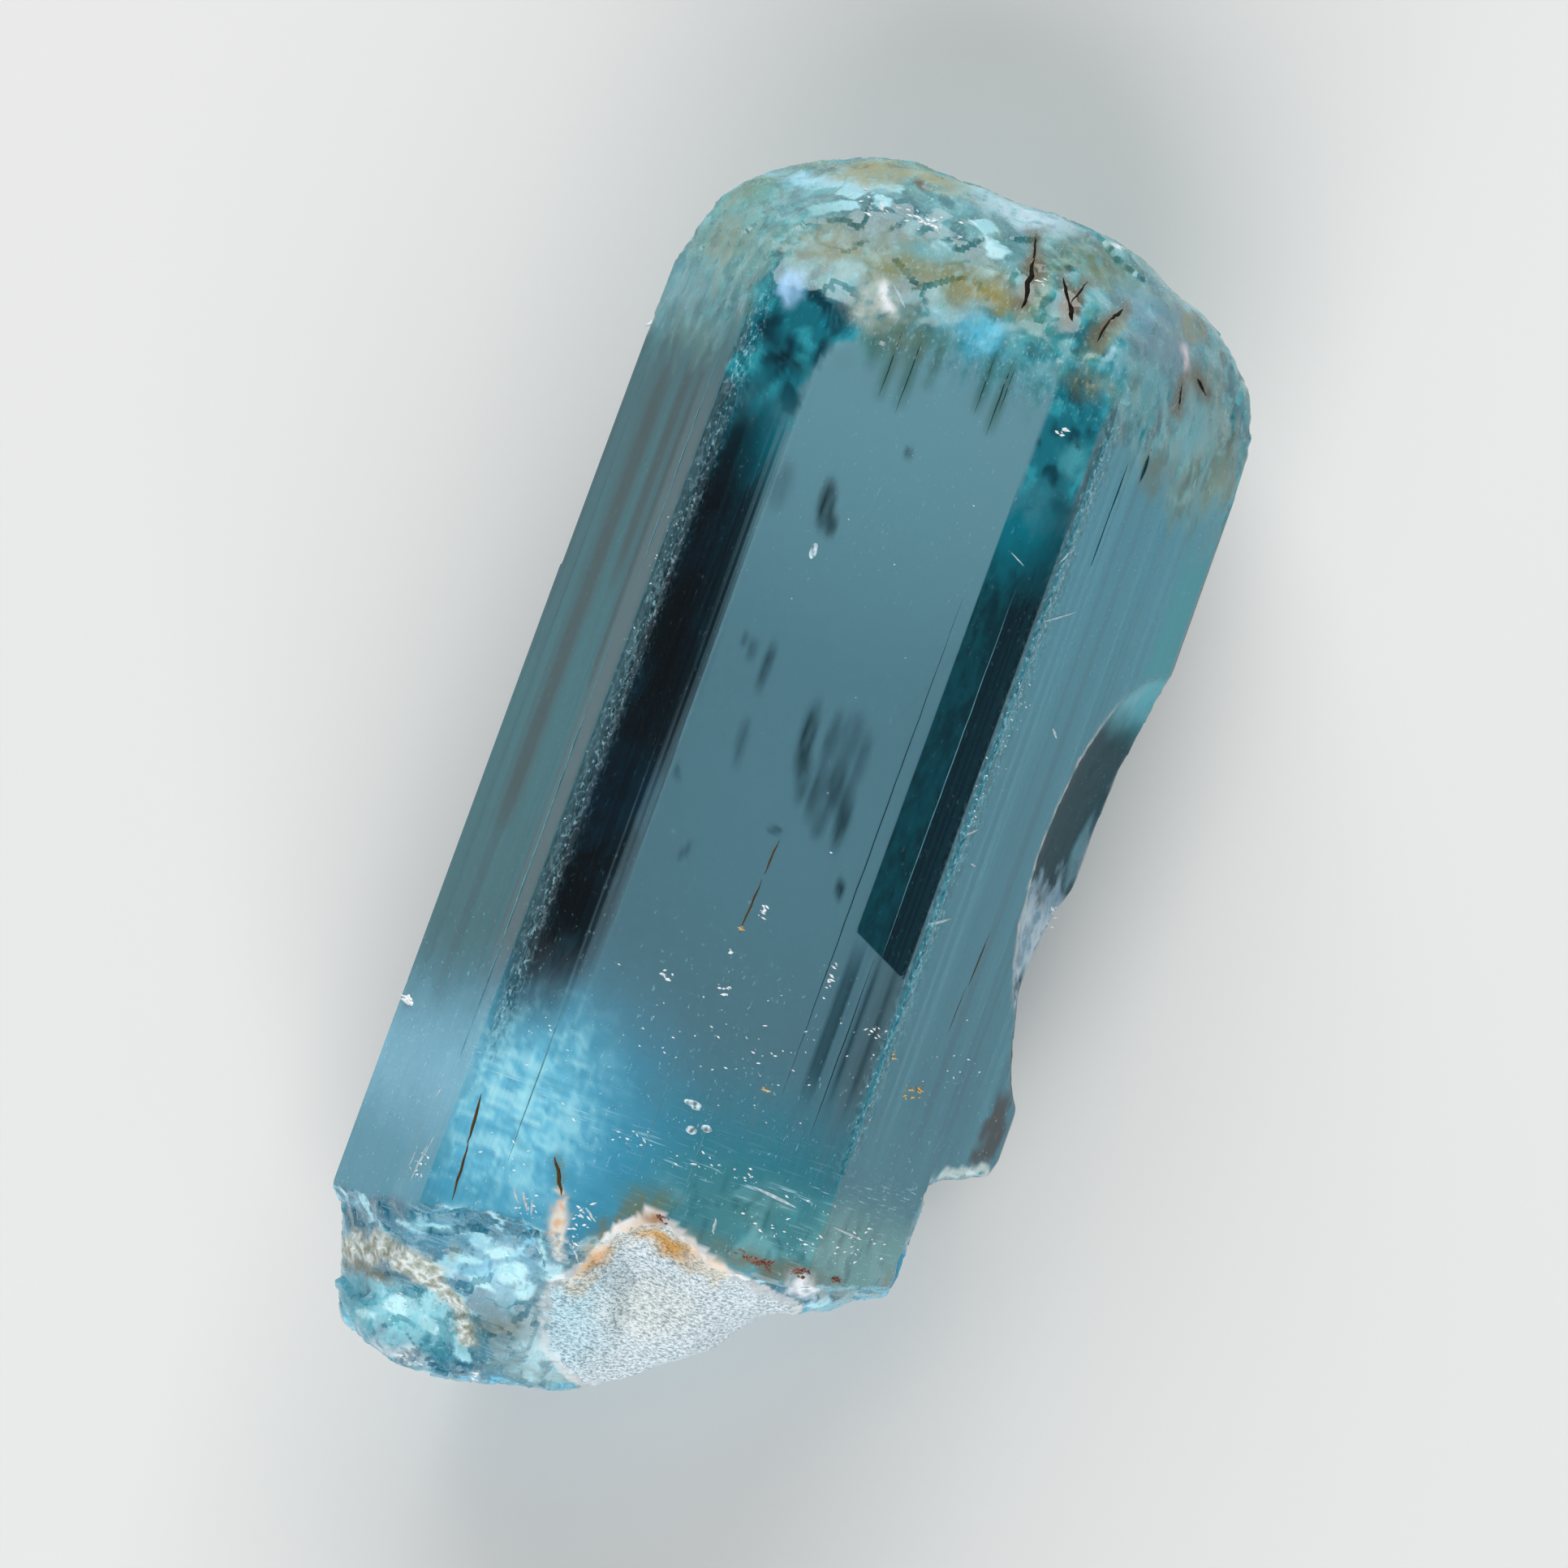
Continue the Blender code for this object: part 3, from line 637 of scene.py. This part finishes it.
def paint_flake(lay, points, p, up, masks):
    """The long flake off the right edge, dark inside with painted shade, its whitish rim, and the
    tab below it.
    """
    x, y = p[:, 0], p[:, 1]
    where = masks["flake"]
    # Painted shade: the inside of the flake is dark.
    lay(where, (0.0, 0.06, 0.085), 0.3, 0.8)
    lay(where * rise(y, 3.4, 4.4), (0.05, 0.5, 0.62), 0.3, 0.3)
    # Painted glints: blue-white glitter low in the flake.
    speckle = noise_of(points, (0.22, 0.35, 0.5), 4, 97.0)
    blurred = y + 0.9 * speckle
    glitter = rise(-blurred, -0.8, 0.2) * rise(blurred, -2.1, -1.2)
    lay(where * glitter, (0.34, 0.6, 0.78), 0.2, 0.35)
    lay(where * glitter * rise(speckle, 0.0, 0.3) * 0.8, (0.62, 0.78, 0.88), 0.1, 0.3)
    lay(where * glitter * rise(-speckle, 0.0, 0.3) * 0.8, (0.05, 0.3, 0.46), 0.4, 0.2)
    lay(spot(p, 5.45, 1.25, 0.12, 0.16) * where, (0.5, 0.72, 0.82), 0.2)
    chipped = noise_of(points, (0.15, 0.3, 0.3), 2, 95.0)
    rim = between(masks["flake_rim"], 0.16, 0.52, 0.08) * between(y, -2.2, 4.4, 0.4) * up
    rim = rim * (x > 4.3) * rise(points[:, 2], 5.0, 6.5) * rise(chipped, -0.5, -0.2)
    lay(rim, (0.62, 0.64, 0.62), 0.12, 0.4)
    lay(rim * rise(chipped, 0.0, 0.3), (0.8, 0.7, 0.66), 0.1, 0.4)
    tab = between(x, 5.45, 5.85, 0.08) * between(y, -5.1, -3.6, 0.25) * up
    lay(tab, (0.005, 0.03, 0.04), 0.35)
    lay(stroke(p, TAB_RIM, 0.11) * up, (0.62, 0.8, 0.8), 0.1)


def store(mesh, name, values, kind='FLOAT', field="value"):
    """Writes a number, or a colour, at every point as a mesh attribute."""
    attribute = mesh.attributes.new(name, kind, 'POINT')
    attribute.data.foreach_set(field, values.astype(np.float32).ravel())


def store_patterns(mesh, points, up, masks):
    """Where the skin is etched, scratched across or dusty with specks, each 0 to 1."""
    x, y = points[:, 0], points[:, 1]
    left, right = ridge_lines(points)
    ridges = np.maximum(left, right) * between(y, -6.0, 9.0, 0.8)
    store(mesh, "ridge", ridges)
    tip = masks["tip"]
    shell = stroke(points, SHELL_RIM, 0.25)
    store(mesh, "etch", clamp01(ridges + 0.3 * tip + 0.4 * shell * up + 0.35 * masks["break"]))
    scratched = 0.9 * stroke(points, CRACK_LINE, 0.2, 0.9) + 0.22 * between(y, -8.2, -5.6, 0.5)
    scratched += 0.25 * between(x, 2.6, 4.8, 0.4) * (y < -6)
    scratched += (0.5 - scratched) * masks["break"]
    store(mesh, "brushed", clamp01(scratched * up))
    dusty = 0.25 + 0.45 * (1 - rise(y, -5.0, -1.0)) + 0.3 * tip
    store(mesh, "dusty", clamp01(dusty * up))


def paint_skin(mesh, points, out, masks):
    """Paints every zone and keeps it all as mesh attributes."""
    up = rise(out[:, 2], 0.12, 0.3)
    masks["patch_side"] = masks["break"] * (out[:, 2] > -0.35) * (points[:, 1] < -7.7)
    uneven = ragged(points)
    paint = Paint(len(points))
    lay = paint.lay
    paint_faces(lay, points, up)
    paint_smudges(lay, points, up)
    paint_broken_zone(lay, uneven, up)
    paint_ridges(lay, points)
    paint_tip(lay, points, uneven, up, masks)
    paint_break(lay, points, uneven, up, masks)
    paint_flake(lay, points, uneven, up, masks)
    tint = np.concatenate([clamp01(paint.colour), np.ones((len(points), 1))], axis=1)
    store(mesh, "tint", tint, 'FLOAT_COLOR', "color")
    store(mesh, "clear", paint.clear)
    store(mesh, "rough", paint.rough)
    store_patterns(mesh, points, up, masks)
    # The two dark bands of painted shade are laid in the material by these outlines.
    wall_up = up * (out[:, 2] > 0.7) * (1 - masks["break"]) > 0.5
    store(mesh, "left_shade_band", np.where(wall_up, inside_outline(points, LEFT_SHADE_BAND), -1.0))
    store(mesh, "right_shade_band", np.where(wall_up, inside_outline(points, RIGHT_SHADE_BAND), -1.0))
    store(mesh, "patch", np.where(masks["patch_side"] > 0.3, inside_outline(points, PATCH), -1.0))


# ---------- materials

class Nodes:
    """Builds a material's nodes from short expressions."""

    def __init__(self, material):
        material.use_nodes = True
        self.tree = material.node_tree
        self.shader = self.tree.nodes["Principled BSDF"]
        self.output = self.tree.nodes["Material Output"]

    def node(self, kind, values, **settings):
        made = self.tree.nodes.new("ShaderNode" + kind)
        for key, value in settings.items():
            setattr(made, key, value)
        for key, value in values.items():
            self.join(value, made.inputs[key])
        return made

    def join(self, value, socket):
        if isinstance(value, bpy.types.NodeSocket):
            self.tree.links.new(value, socket)
        else:
            socket.default_value = value

    def math(self, operation, *values):
        return self.node("Math", dict(enumerate(values)), operation=operation).outputs[0]

    def plus(self, first, second):
        return self.math('ADD', first, second)

    def times(self, first, second):
        return self.math('MULTIPLY', first, second)

    def most(self, first, second):
        return self.math('MAXIMUM', first, second)

    def less(self, value, share, amount):
        """The value, less the share times the amount of it."""
        return self.times(value, self.math('SUBTRACT', 1.0, self.times(share, amount)))

    def away_from(self, value, centre):
        return self.math('ABSOLUTE', self.math('SUBTRACT', value, centre))

    def smooth(self, value, start, end, low=0.0, high=1.0):
        values = {"Value": value, "From Min": start, "From Max": end, "To Min": low, "To Max": high}
        made = self.node("MapRange", values, interpolation_type='SMOOTHSTEP')
        return made.outputs["Result"]

    def mix(self, share, first, second, how='MIX'):
        values = {"Factor": share, 6: first, 7: second}
        return self.node("Mix", values, data_type='RGBA', blend_type=how).outputs[2]

    def attribute(self, name, output="Fac"):
        return self.node("Attribute", {}, attribute_name=name).outputs[output]

    def place(self, stretch):
        """The object's coordinates in millimetres, divided by the size of a pattern's lumps."""
        where = self.node("TexCoord", {}).outputs["Object"]
        values = {"Vector": where, "Scale": [1 / (MM * size) for size in stretch],
                  "Location": (0.37, 0.41, 0.29)}
        return self.node("Mapping", values).outputs[0]

    def noise(self, stretch, detail=2.0, roughness=0.5):
        values = {"Vector": self.place(stretch), "Scale": 1.0, "Detail": detail,
                  "Roughness": roughness}
        return self.node("TexNoise", values).outputs["Fac"]


def rgb(red, green, blue):
    return (red, green, blue, 1.0)


def skin_material():
    """Beryl: what was painted, with the bands of painted shade, fine lines, flecks and glitter laid
    over it.
    """
    material = bpy.data.materials.new("aquamarine_skin")
    g = Nodes(material)
    painted, clear, rough = g.attribute("tint", "Color"), g.attribute("clear"), g.attribute("rough")
    etch, dusty, ridge = g.attribute("etch"), g.attribute("dusty"), g.attribute("ridge")
    where = {"Vector": g.node("TexCoord", {}).outputs["Object"]}
    where = g.node("SeparateXYZ", where).outputs
    across, along = g.math('DIVIDE', where["X"], MM), g.math('DIVIDE', where["Y"], MM)
    lines = g.noise((0.06, 40.0, 0.06), 2.0)
    fine = g.noise((0.2, 0.5, 0.2), 2.0, 0.6)
    uneven = g.plus(along, fine)

    beside_middle = g.smooth(g.math('ABSOLUTE', g.plus(across, 0.35)), 2.0, 2.25, 0.1, 1.0)
    growth = g.times(g.smooth(lines, 0.6, 0.35), beside_middle)
    growth = g.mix(growth, rgb(1, 1, 1), rgb(0.92, 0.93, 0.94))
    tint = g.mix(1.0, painted, growth, 'MULTIPLY')

    # Painted shade: the two dark bands, navy where the far faces look dark and teal at their tops.
    left = g.plus(g.attribute("left_shade_band"), g.smooth(lines, 0.3, 0.7, -0.14, 0.1))
    left = g.times(g.smooth(left, -0.02, 0.4), g.smooth(uneven, -5.4, -2.6))
    left = g.times(left, g.smooth(uneven, 8.6, 7.0))
    right = g.smooth(g.attribute("right_shade_band"), -0.015, 0.02)
    right = g.times(right, g.smooth(uneven, 8.4, 7.0))
    navy = g.mix(g.smooth(lines, 0.35, 0.75), rgb(0.001, 0.02, 0.033), rgb(0.003, 0.06, 0.09))
    teal = g.mix(g.smooth(fine, 0.3, 0.7), rgb(0.0, 0.05, 0.07), rgb(0.0, 0.14, 0.18))
    teal_side = g.times(g.smooth(across, 2.46, 2.38), g.smooth(across, 0.0, 0.1, 0.0, 0.8))
    navy = g.mix(teal_side, navy, teal)
    band = g.mix(g.smooth(uneven, 5.6, 7.2), navy, rgb(0.0, 0.32, 0.43))
    tint = g.mix(g.most(left, right), tint, band)

    flecks = g.noise((0.055, 0.13, 0.1), 2.0, 0.65)
    brush = g.noise((0.7, 0.045, 0.3), 2.0, 0.6)
    worms = g.smooth(g.away_from(fine, 0.5), 0.045, 0.0)
    furrows = g.smooth(g.away_from(fine, 0.42), 0.035, 0.0, 0.0, 0.7)
    light = g.times(g.smooth(flecks, 0.56, 0.66), etch)
    light = g.most(light, g.times(g.smooth(flecks, 0.66, 0.71), dusty))
    light = g.most(light, g.times(g.smooth(brush, 0.56, 0.7), g.attribute("brushed")))
    light = g.most(light, g.times(g.times(worms, 0.45), ridge))
    dark = g.times(g.smooth(flecks, 0.44, 0.34, 0.0, 0.6), etch)
    dark = g.most(dark, g.times(furrows, ridge))
    tint = g.mix(dark, tint, rgb(0.01, 0.05, 0.065))
    tint = g.mix(g.times(light, 0.8), tint, rgb(0.4, 0.68, 0.78))

    patch = g.plus(g.attribute("patch"), g.smooth(fine, 0.2, 0.8, -0.12, 0.12))
    patch = g.smooth(patch, -0.02, 0.05)
    # The white patch: grainy grey and white, partly its own grain, its brightest flecks painted
    # glints.
    glitter = g.smooth(g.noise((0.085, 0.045, 0.065), 3.0, 0.8), 0.36, 0.6)
    white = g.mix(glitter, rgb(0.18, 0.27, 0.31), rgb(0.76, 0.86, 0.92))
    tint = g.mix(patch, tint, g.mix(1.0, white, painted, 'MULTIPLY'))

    g.join(tint, g.shader.inputs["Base Color"])
    g.join(g.less(g.less(clear, light, 0.5), patch, 0.96), g.shader.inputs["Transmission Weight"])
    g.join(g.plus(rough, g.times(g.most(patch, light), 0.3)), g.shader.inputs["Roughness"])
    g.shader.inputs["IOR"].default_value = BERYL_IOR
    beryl = {"Color": BERYL_ABSORPTION, "Density": BERYL_DENSITY}
    beryl = g.node("VolumeAbsorption", beryl).outputs[0]
    g.join(beryl, g.output.inputs["Volume"])
    return material


# ---------- pieces

def add_piece(name, mesh, material):
    """A piece of the crystal, from a mesh in millimetres."""
    mesh.name = name
    mesh.transform(Matrix.Scale(MM, 4))
    mesh.materials.clear()
    mesh.materials.append(material)
    obj = new_object(name, mesh)
    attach(obj, BODY)
    return obj


def shade(mesh):
    """Smooth all over but for the big flat faces of the thinned underside."""
    facings = vectors(mesh.polygons, "normal")
    low = vectors(mesh.polygons, "center")[:, 2] < UNDERSIDE_Z
    flat = on_prism(facings) & (facings[:, 2] < 0) & low
    mesh.polygons.foreach_set("use_smooth", ~flat)


def build_skin():
    """The skin, in the solid's place, and a tree to set things on its surface."""
    mesh, points, out, masks = crystal_skin()
    paint_skin(mesh, points, out, masks)
    shade(mesh)
    tree = BVHTree.FromPolygons(points.tolist(), [tuple(face.vertices) for face in mesh.polygons])
    skin = add_piece("crystal_skin", mesh, skin_material())
    skin.data.set_sharp_from_angle(angle=math.radians(SHARP_ANGLE))
    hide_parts(NODE)
    return tree


# ---------- inclusions

def on_skin(tree, x, y, depth):
    """The point so far below the skin that shows from above."""
    place = tree.ray_cast((x, y, 2 * TOP_Z), (0.0, 0.0, -1.0))[0]
    return Vector((x, y, (place.z if place else AXIS_Z) - depth))


def plain_material(name, colour, rough=0.4, spread=0.35, ior=1.5):
    """A solid inclusion, its colour uneven."""
    material = bpy.data.materials.new(name)
    g = Nodes(material)
    uneven = g.noise((0.08, 0.14, 0.08), 2.0)
    dark = rgb(*(c * (1 - spread) for c in colour))
    g.join(g.mix(g.smooth(uneven, 0.3, 0.7), dark, rgb(*colour)), g.shader.inputs["Base Color"])
    g.shader.inputs["Roughness"].default_value = rough
    g.shader.inputs["IOR"].default_value = ior
    return material


def add_tube(bm, path, radius, sides=5):
    """A thin closed thread that tapers to both ends."""
    rings = []
    for k, centre in enumerate(path):
        share = math.sin(math.pi * (0.08 + 0.84 * k / (len(path) - 1)))
        before, after = path[max(k - 1, 0)], path[min(k + 1, len(path) - 1)]
        turn = (after - before).to_track_quat('Z', 'Y')
        ring = []
        for side in range(sides):
            angle = math.tau * side / sides
            offset = Vector((math.cos(angle), math.sin(angle), 0.0)) * radius * share
            ring.append(bm.verts.new(centre + turn @ offset))
        rings.append(ring)
    for ring, following in zip(rings, rings[1:]):
        for side in range(sides):
            other = (side + 1) % sides
            bm.faces.new((ring[side], ring[other], following[other], following[side]))
    bm.faces.new(rings[0][::-1])
    bm.faces.new(rings[-1])


def add_speck(bm, centre, sizes, turn):
    """One octahedral speck."""
    across, along, thick = sizes
    c, s = math.cos(turn), math.sin(turn)
    ends = [(across, 0, 0), (-across, 0, 0), (0, along, 0), (0, -along, 0), (0, 0, thick),
            (0, 0, -thick)]
    points = [bm.verts.new(centre + Vector((x * c - y * s, x * s + y * c, z))) for x, y, z in ends]
    for a, b in ((0, 2), (2, 1), (1, 3), (3, 0)):
        bm.faces.new((points[a], points[b], points[4]))
        bm.faces.new((points[b], points[a], points[5]))


def finish_inclusion(name, bm, material):
    """Closes one kind of inclusion as a piece."""
    bmesh.ops.recalc_face_normals(bm, faces=bm.faces)
    mesh = bpy.data.meshes.new(name)
    bm.to_mesh(mesh)
    bm.free()
    return add_piece(name, mesh, material)


THREADS = {  # name: (colour, rows of (x, y, to x, to y, radius))
    "brown_needles": ((0.1, 0.055, 0.015), (
        (-3.8, -6.9, -3.72, -7.9, 0.035), (-3.72, -7.8, -3.62, -9.0, 0.03),
        (-0.15, -0.5, -0.2, -1.2, 0.022), (-0.2, -1.3, -0.26, -2.4, 0.022),
        (-2.08, -7.55, -1.72, -8.2, 0.045), (4.22, -0.8, 4.18, -1.9, 0.014),
        (4.15, -1.9, 4.12, -2.9, 0.012))),
    "tip_cracks": ((0.012, 0.008, 0.004), (
        (0.5, 12.0, 0.66, 11.3, 0.025), (0.62, 11.5, 0.74, 10.5, 0.06),
        (1.25, 11.35, 1.58, 10.85, 0.035), (1.5, 10.95, 1.7, 10.6, 0.055),
        (1.72, 11.45, 1.55, 10.92, 0.025), (2.55, 11.2, 2.36, 10.9, 0.04),
        (2.38, 10.95, 2.26, 10.4, 0.03), (4.3, 10.55, 4.62, 10.28, 0.035),
        (4.08, 10.3, 4.2, 9.8, 0.022))),
    # The pale fibres on the break, below y -8, are partly painted glints.
    "pale_fibres": ((0.5, 0.66, 0.72), (
        (3.02, 5.0, 3.68, 5.5, 0.02), (3.02, 6.2, 3.2, 6.6, 0.018), (3.1, 0.78, 3.32, 0.98, 0.028),
        (3.05, -1.02, 3.42, -0.78, 0.03), (4.0, 3.28, 4.14, 3.12, 0.03),
        (2.1, 6.1, 2.42, 5.94, 0.015), (3.4, 0.32, 3.52, 0.3, 0.022), (1.62, -6.8, 2.5, -6.9, 0.04),
        (3.3, -7.02, 3.9, -7.1, 0.028), (1.15, -7.6, 1.22, -7.9, 0.04),
        (-4.35, -7.9, -4.5, -8.9, 0.022), (-4.55, -7.1, -4.6, -7.3, 0.03),
        (-1.7, 10.1, -1.35, 9.75, 0.03), (-2.62, -8.35, -2.42, -8.62, 0.03),
        (-2.42, -8.38, -2.22, -8.7, 0.04), (-2.2, -8.45, -2.12, -8.75, 0.03),
        (-4.42, -8.2, -4.5, -8.95, 0.03), (-4.6, -8.35, -4.62, -8.7, 0.025),
        (-1.95, -9.15, -1.62, -9.5, 0.04), (-1.2, -8.25, -0.95, -8.45, 0.03),
        (-1.25, -8.9, -1.0, -9.3, 0.03))),
    "dark_lines": ((0.01, 0.05, 0.065), (
        (1.54, 5.0, 1.54, -5.0, 0.013), (0.9, 9.5, 0.9, 8.0, 0.013),
        (-1.25, 9.5, -1.25, 8.0, 0.014), (-0.85, 9.4, -0.85, 7.8, 0.012),
        (0.55, 9.6, 0.55, 8.3, 0.01), (0.98, 9.4, 0.98, 8.5, 0.01), (2.3, -2.0, 2.3, -5.6, 0.012),
        (3.62, 8.6, 3.62, 6.4, 0.018), (3.95, 8.9, 3.96, 8.2, 0.03))),
    "pale_lines": ((0.1, 0.3, 0.36), (
        (2.42, 5.5, 2.42, -2.0, 0.011), (-4.42, 2.0, -4.42, -6.5, 0.026),
        (-0.55, -5.0, -0.55, -7.5, 0.012), (-4.36, 8.0, -4.36, 2.5, 0.016),
        (-2.9, -4.5, -2.9, -8.0, 0.016), (0.42, -5.6, 0.42, -7.9, 0.012))),
}
SPECK_GROUPS = {  # name: (colour, rows of (x, y, spread across, spread along, count, size))
    # White specks are dust; the groups on the tip and the break are painted glints.
    "white_specks_and_glints": ((0.95, 0.98, 1.0), (
        (0.05, -1.9, 0.12, 0.15, 9, 0.04), (-0.28, -2.78, 0.08, 0.05, 5, 0.045),
        (-1.3, -3.6, 0.16, 0.14, 8, 0.04), (-0.15, -3.5, 0.16, 0.14, 8, 0.035),
        (1.66, -2.7, 0.05, 0.5, 12, 0.035), (2.7, -3.3, 0.35, 0.16, 12, 0.03),
        (0.5, -4.4, 3.0, 1.4, 70, 0.022), (-3.0, -5.6, 0.9, 0.9, 12, 0.02),
        (0.3, -6.7, 3.6, 0.22, 40, 0.03), (2.6, -7.4, 1.4, 0.5, 26, 0.032),
        (-3.0, -7.8, 1.1, 0.8, 12, 0.026), (3.2, 2.5, 0.3, 2.6, 40, 0.022),
        (4.4, -3.2, 0.6, 1.0, 16, 0.026), (3.9, -7.2, 0.7, 0.9, 30, 0.036),
        (-1.2, -8.6, 0.25, 0.5, 26, 0.034), (-4.45, -8.6, 0.2, 0.4, 16, 0.032),
        (-2.3, -8.6, 0.3, 0.3, 16, 0.034), (-3.9, -11.3, 0.9, 0.5, 30, 0.034),
        (-3.4, -12.3, 0.35, 0.08, 12, 0.05), (-2.1, -12.15, 0.1, 0.16, 9, 0.055),
        (-2.0, 11.5, 1.4, 0.35, 40, 0.055), (0.9, 11.1, 0.12, 0.12, 5, 0.055),
        (-1.4, 4.88, 0.05, 0.16, 5, 0.03), (2.2, 8.55, 0.1, 0.1, 6, 0.065),
        (-5.7, -5.8, 0.13, 0.12, 10, 0.09), (5.3, -0.2, 0.14, 0.4, 10, 0.045),
        (0.0, 3.5, 2.2, 5.0, 14, 0.018), (-4.1, 2.0, 0.15, 4.0, 24, 0.018),
        (-5.87, 8.02, 0.05, 0.12, 6, 0.07))),
    "gold_specks": ((0.72, 0.42, 0.1), (
        (3.25, -3.55, 0.06, 0.12, 4, 0.045), (3.85, -4.15, 0.22, 0.18, 12, 0.05),
        (-0.25, -2.3, 0.03, 0.08, 3, 0.045), (1.2, -5.0, 0.15, 0.05, 4, 0.035))),
    "rust_specks": ((0.15, 0.045, 0.02), (
        (2.2, -8.1, 0.9, 0.13, 34, 0.06), (3.7, -7.97, 0.1, 0.08, 7, 0.08),
        (3.0, -8.02, 0.16, 0.1, 12, 0.075), (0.2, -7.95, 0.16, 0.08, 7, 0.06))),
}
# Bubbles: (x, y, across, along).
BUBBLES = ((0.02, -5.72, 0.2, 0.07), (0.1, -5.78, 0.1, 0.05), (0.16, -6.2, 0.12, 0.09),
           (0.42, -6.08, 0.12, 0.08), (-1.41, 4.85, 0.08, 0.17))


def build_threads(tree):
    """The needles, cracks, fibres and lines, each a little wavy."""
    dice = random.Random(5)
    for name, (colour, threads) in THREADS.items():
        bm = bmesh.new()
        for x, y, to_x, to_y, radius in threads:
            steps = max(7, int(abs(to_y - y) * 3))
            path = []
            for k in range(steps):
                t = k / (steps - 1)
                place = on_skin(tree, x + (to_x - x) * t, y + (to_y - y) * t, 0.2 * radius)
                place.x += dice.uniform(-0.5, 0.5) * radius
                path.append(place)
            add_tube(bm, path, radius)
        ior = 1.5 if max(colour) > 0.2 else 1.15  # a dark thread mirrors next to nothing
        finish_inclusion(name, bm, plain_material(name, colour, 0.6, ior=ior))


def build_specks(tree):
    """The groups of specks, denser towards their middles."""
    dice = random.Random(11)
    for name, (colour, groups) in SPECK_GROUPS.items():
        bm = bmesh.new()
        for x, y, spread_x, spread_y, count, size in groups:
            for _ in range(count):
                at_x = x + spread_x * dice.uniform(-1, 1) * dice.uniform(0.3, 1)
                at_y = y + spread_y * dice.uniform(-1, 1) * dice.uniform(0.3, 1)
                r = size * dice.uniform(0.3, 1.2)
                place = on_skin(tree, at_x, at_y, 0.0)
                sizes = (r * dice.uniform(0.8, 2.2), r * 0.6, r * 0.4)
                add_speck(bm, place, sizes, dice.uniform(-0.7, 0.7))
        finish_inclusion(name, bm, plain_material(name, colour, 0.25))


def build_bubbles(tree):
    bm = bmesh.new()
    for x, y, across, along in BUBBLES:
        low = min(across, along) * 0.6
        shape = Matrix.LocRotScale(on_skin(tree, x, y, 0.3 * low), None, (across, along, low))
        bmesh.ops.create_icosphere(bm, subdivisions=2, radius=1.0, matrix=shape)
    finish_inclusion("bubbles", bm, plain_material("bubbles", (0.62, 0.86, 0.95), 0.1, 0.8))


# ---------- stage

FLOOR_HALF = 1.5  # metres
FLOOR_GAP = 0.02  # millimetres
FLOOR_COLOUR = (0.78, 0.78, 0.77, 1.0)
FRAME_WIDTH = 30.19  # what the picture spans, in millimetres
FRAME_CENTRE = (-0.43, 0.53, 4.6)  # the middle of the picture, in millimetres
LEAN = 20.0  # how far the crystal leans to the right in its picture, in degrees
LENS, SENSOR = 250.0, 36.0
NEAR_CLIP, FAR_CLIP = 0.001, 20.0  # metres
SOFTBOXES = (  # (name, place in metres, side in metres, watts)
    ("key", (-0.12, 0.37, 0.22), 0.42, 2.3),
    ("fill", (0.06, -0.36, 0.26), 0.44, 2.1),
)
SKY_COLOUR = (0.92, 0.96, 1.0, 1.0)
SKY_STRENGTH = 0.14
BOUNCES = 8


def add_floor():
    bm = bmesh.new()
    bmesh.ops.create_grid(bm, x_segments=1, y_segments=1, size=FLOOR_HALF)
    mesh = bpy.data.meshes.new("floor")
    bm.to_mesh(mesh)
    bm.free()
    floor = new_object("floor", mesh)
    floor.location.z = -FLOOR_GAP * MM
    material = bpy.data.materials.new("floor")
    shader = Nodes(material).shader
    shader.inputs["Base Color"].default_value = FLOOR_COLOUR
    shader.inputs["Roughness"].default_value = 0.8
    mesh.materials.append(material)


def add_camera():
    """Straight above, and turned as the crystal leans in its picture."""
    camera = bpy.data.cameras.new("camera")
    camera.lens = LENS
    camera.sensor_width = SENSOR
    camera.clip_start = NEAR_CLIP
    camera.clip_end = FAR_CLIP
    obj = new_object("camera", camera)
    x, y, z = (MM * value for value in FRAME_CENTRE)
    obj.location = (x, y, z + FRAME_WIDTH * MM * LENS / SENSOR)
    obj.rotation_euler = (0.0, 0.0, math.radians(LEAN))
    bpy.context.scene.camera = obj


def add_softbox(name, location, size, power):
    """A square soft light that faces the crystal."""
    light = bpy.data.lights.new(name, 'AREA')
    light.shape = 'SQUARE'
    light.size = size
    light.energy = power
    obj = new_object(name, light)
    obj.location = location
    obj.rotation_euler = (-Vector(location)).to_track_quat('-Z', 'Y').to_euler()


def add_lights():
    for softbox in SOFTBOXES:
        add_softbox(*softbox)
    world = bpy.data.worlds.new("studio")
    world.use_nodes = True
    sky = world.node_tree.nodes["Background"]
    sky.inputs["Color"].default_value = SKY_COLOUR
    sky.inputs["Strength"].default_value = SKY_STRENGTH
    scene = bpy.context.scene
    scene.world = world
    scene.view_settings.view_transform = 'Standard'
    scene.cycles.max_bounces = BOUNCES
    scene.cycles.transmission_bounces = BOUNCES


skin_tree = build_skin()
build_threads(skin_tree)
build_specks(skin_tree)
build_bubbles(skin_tree)
add_floor()
add_camera()
add_lights()
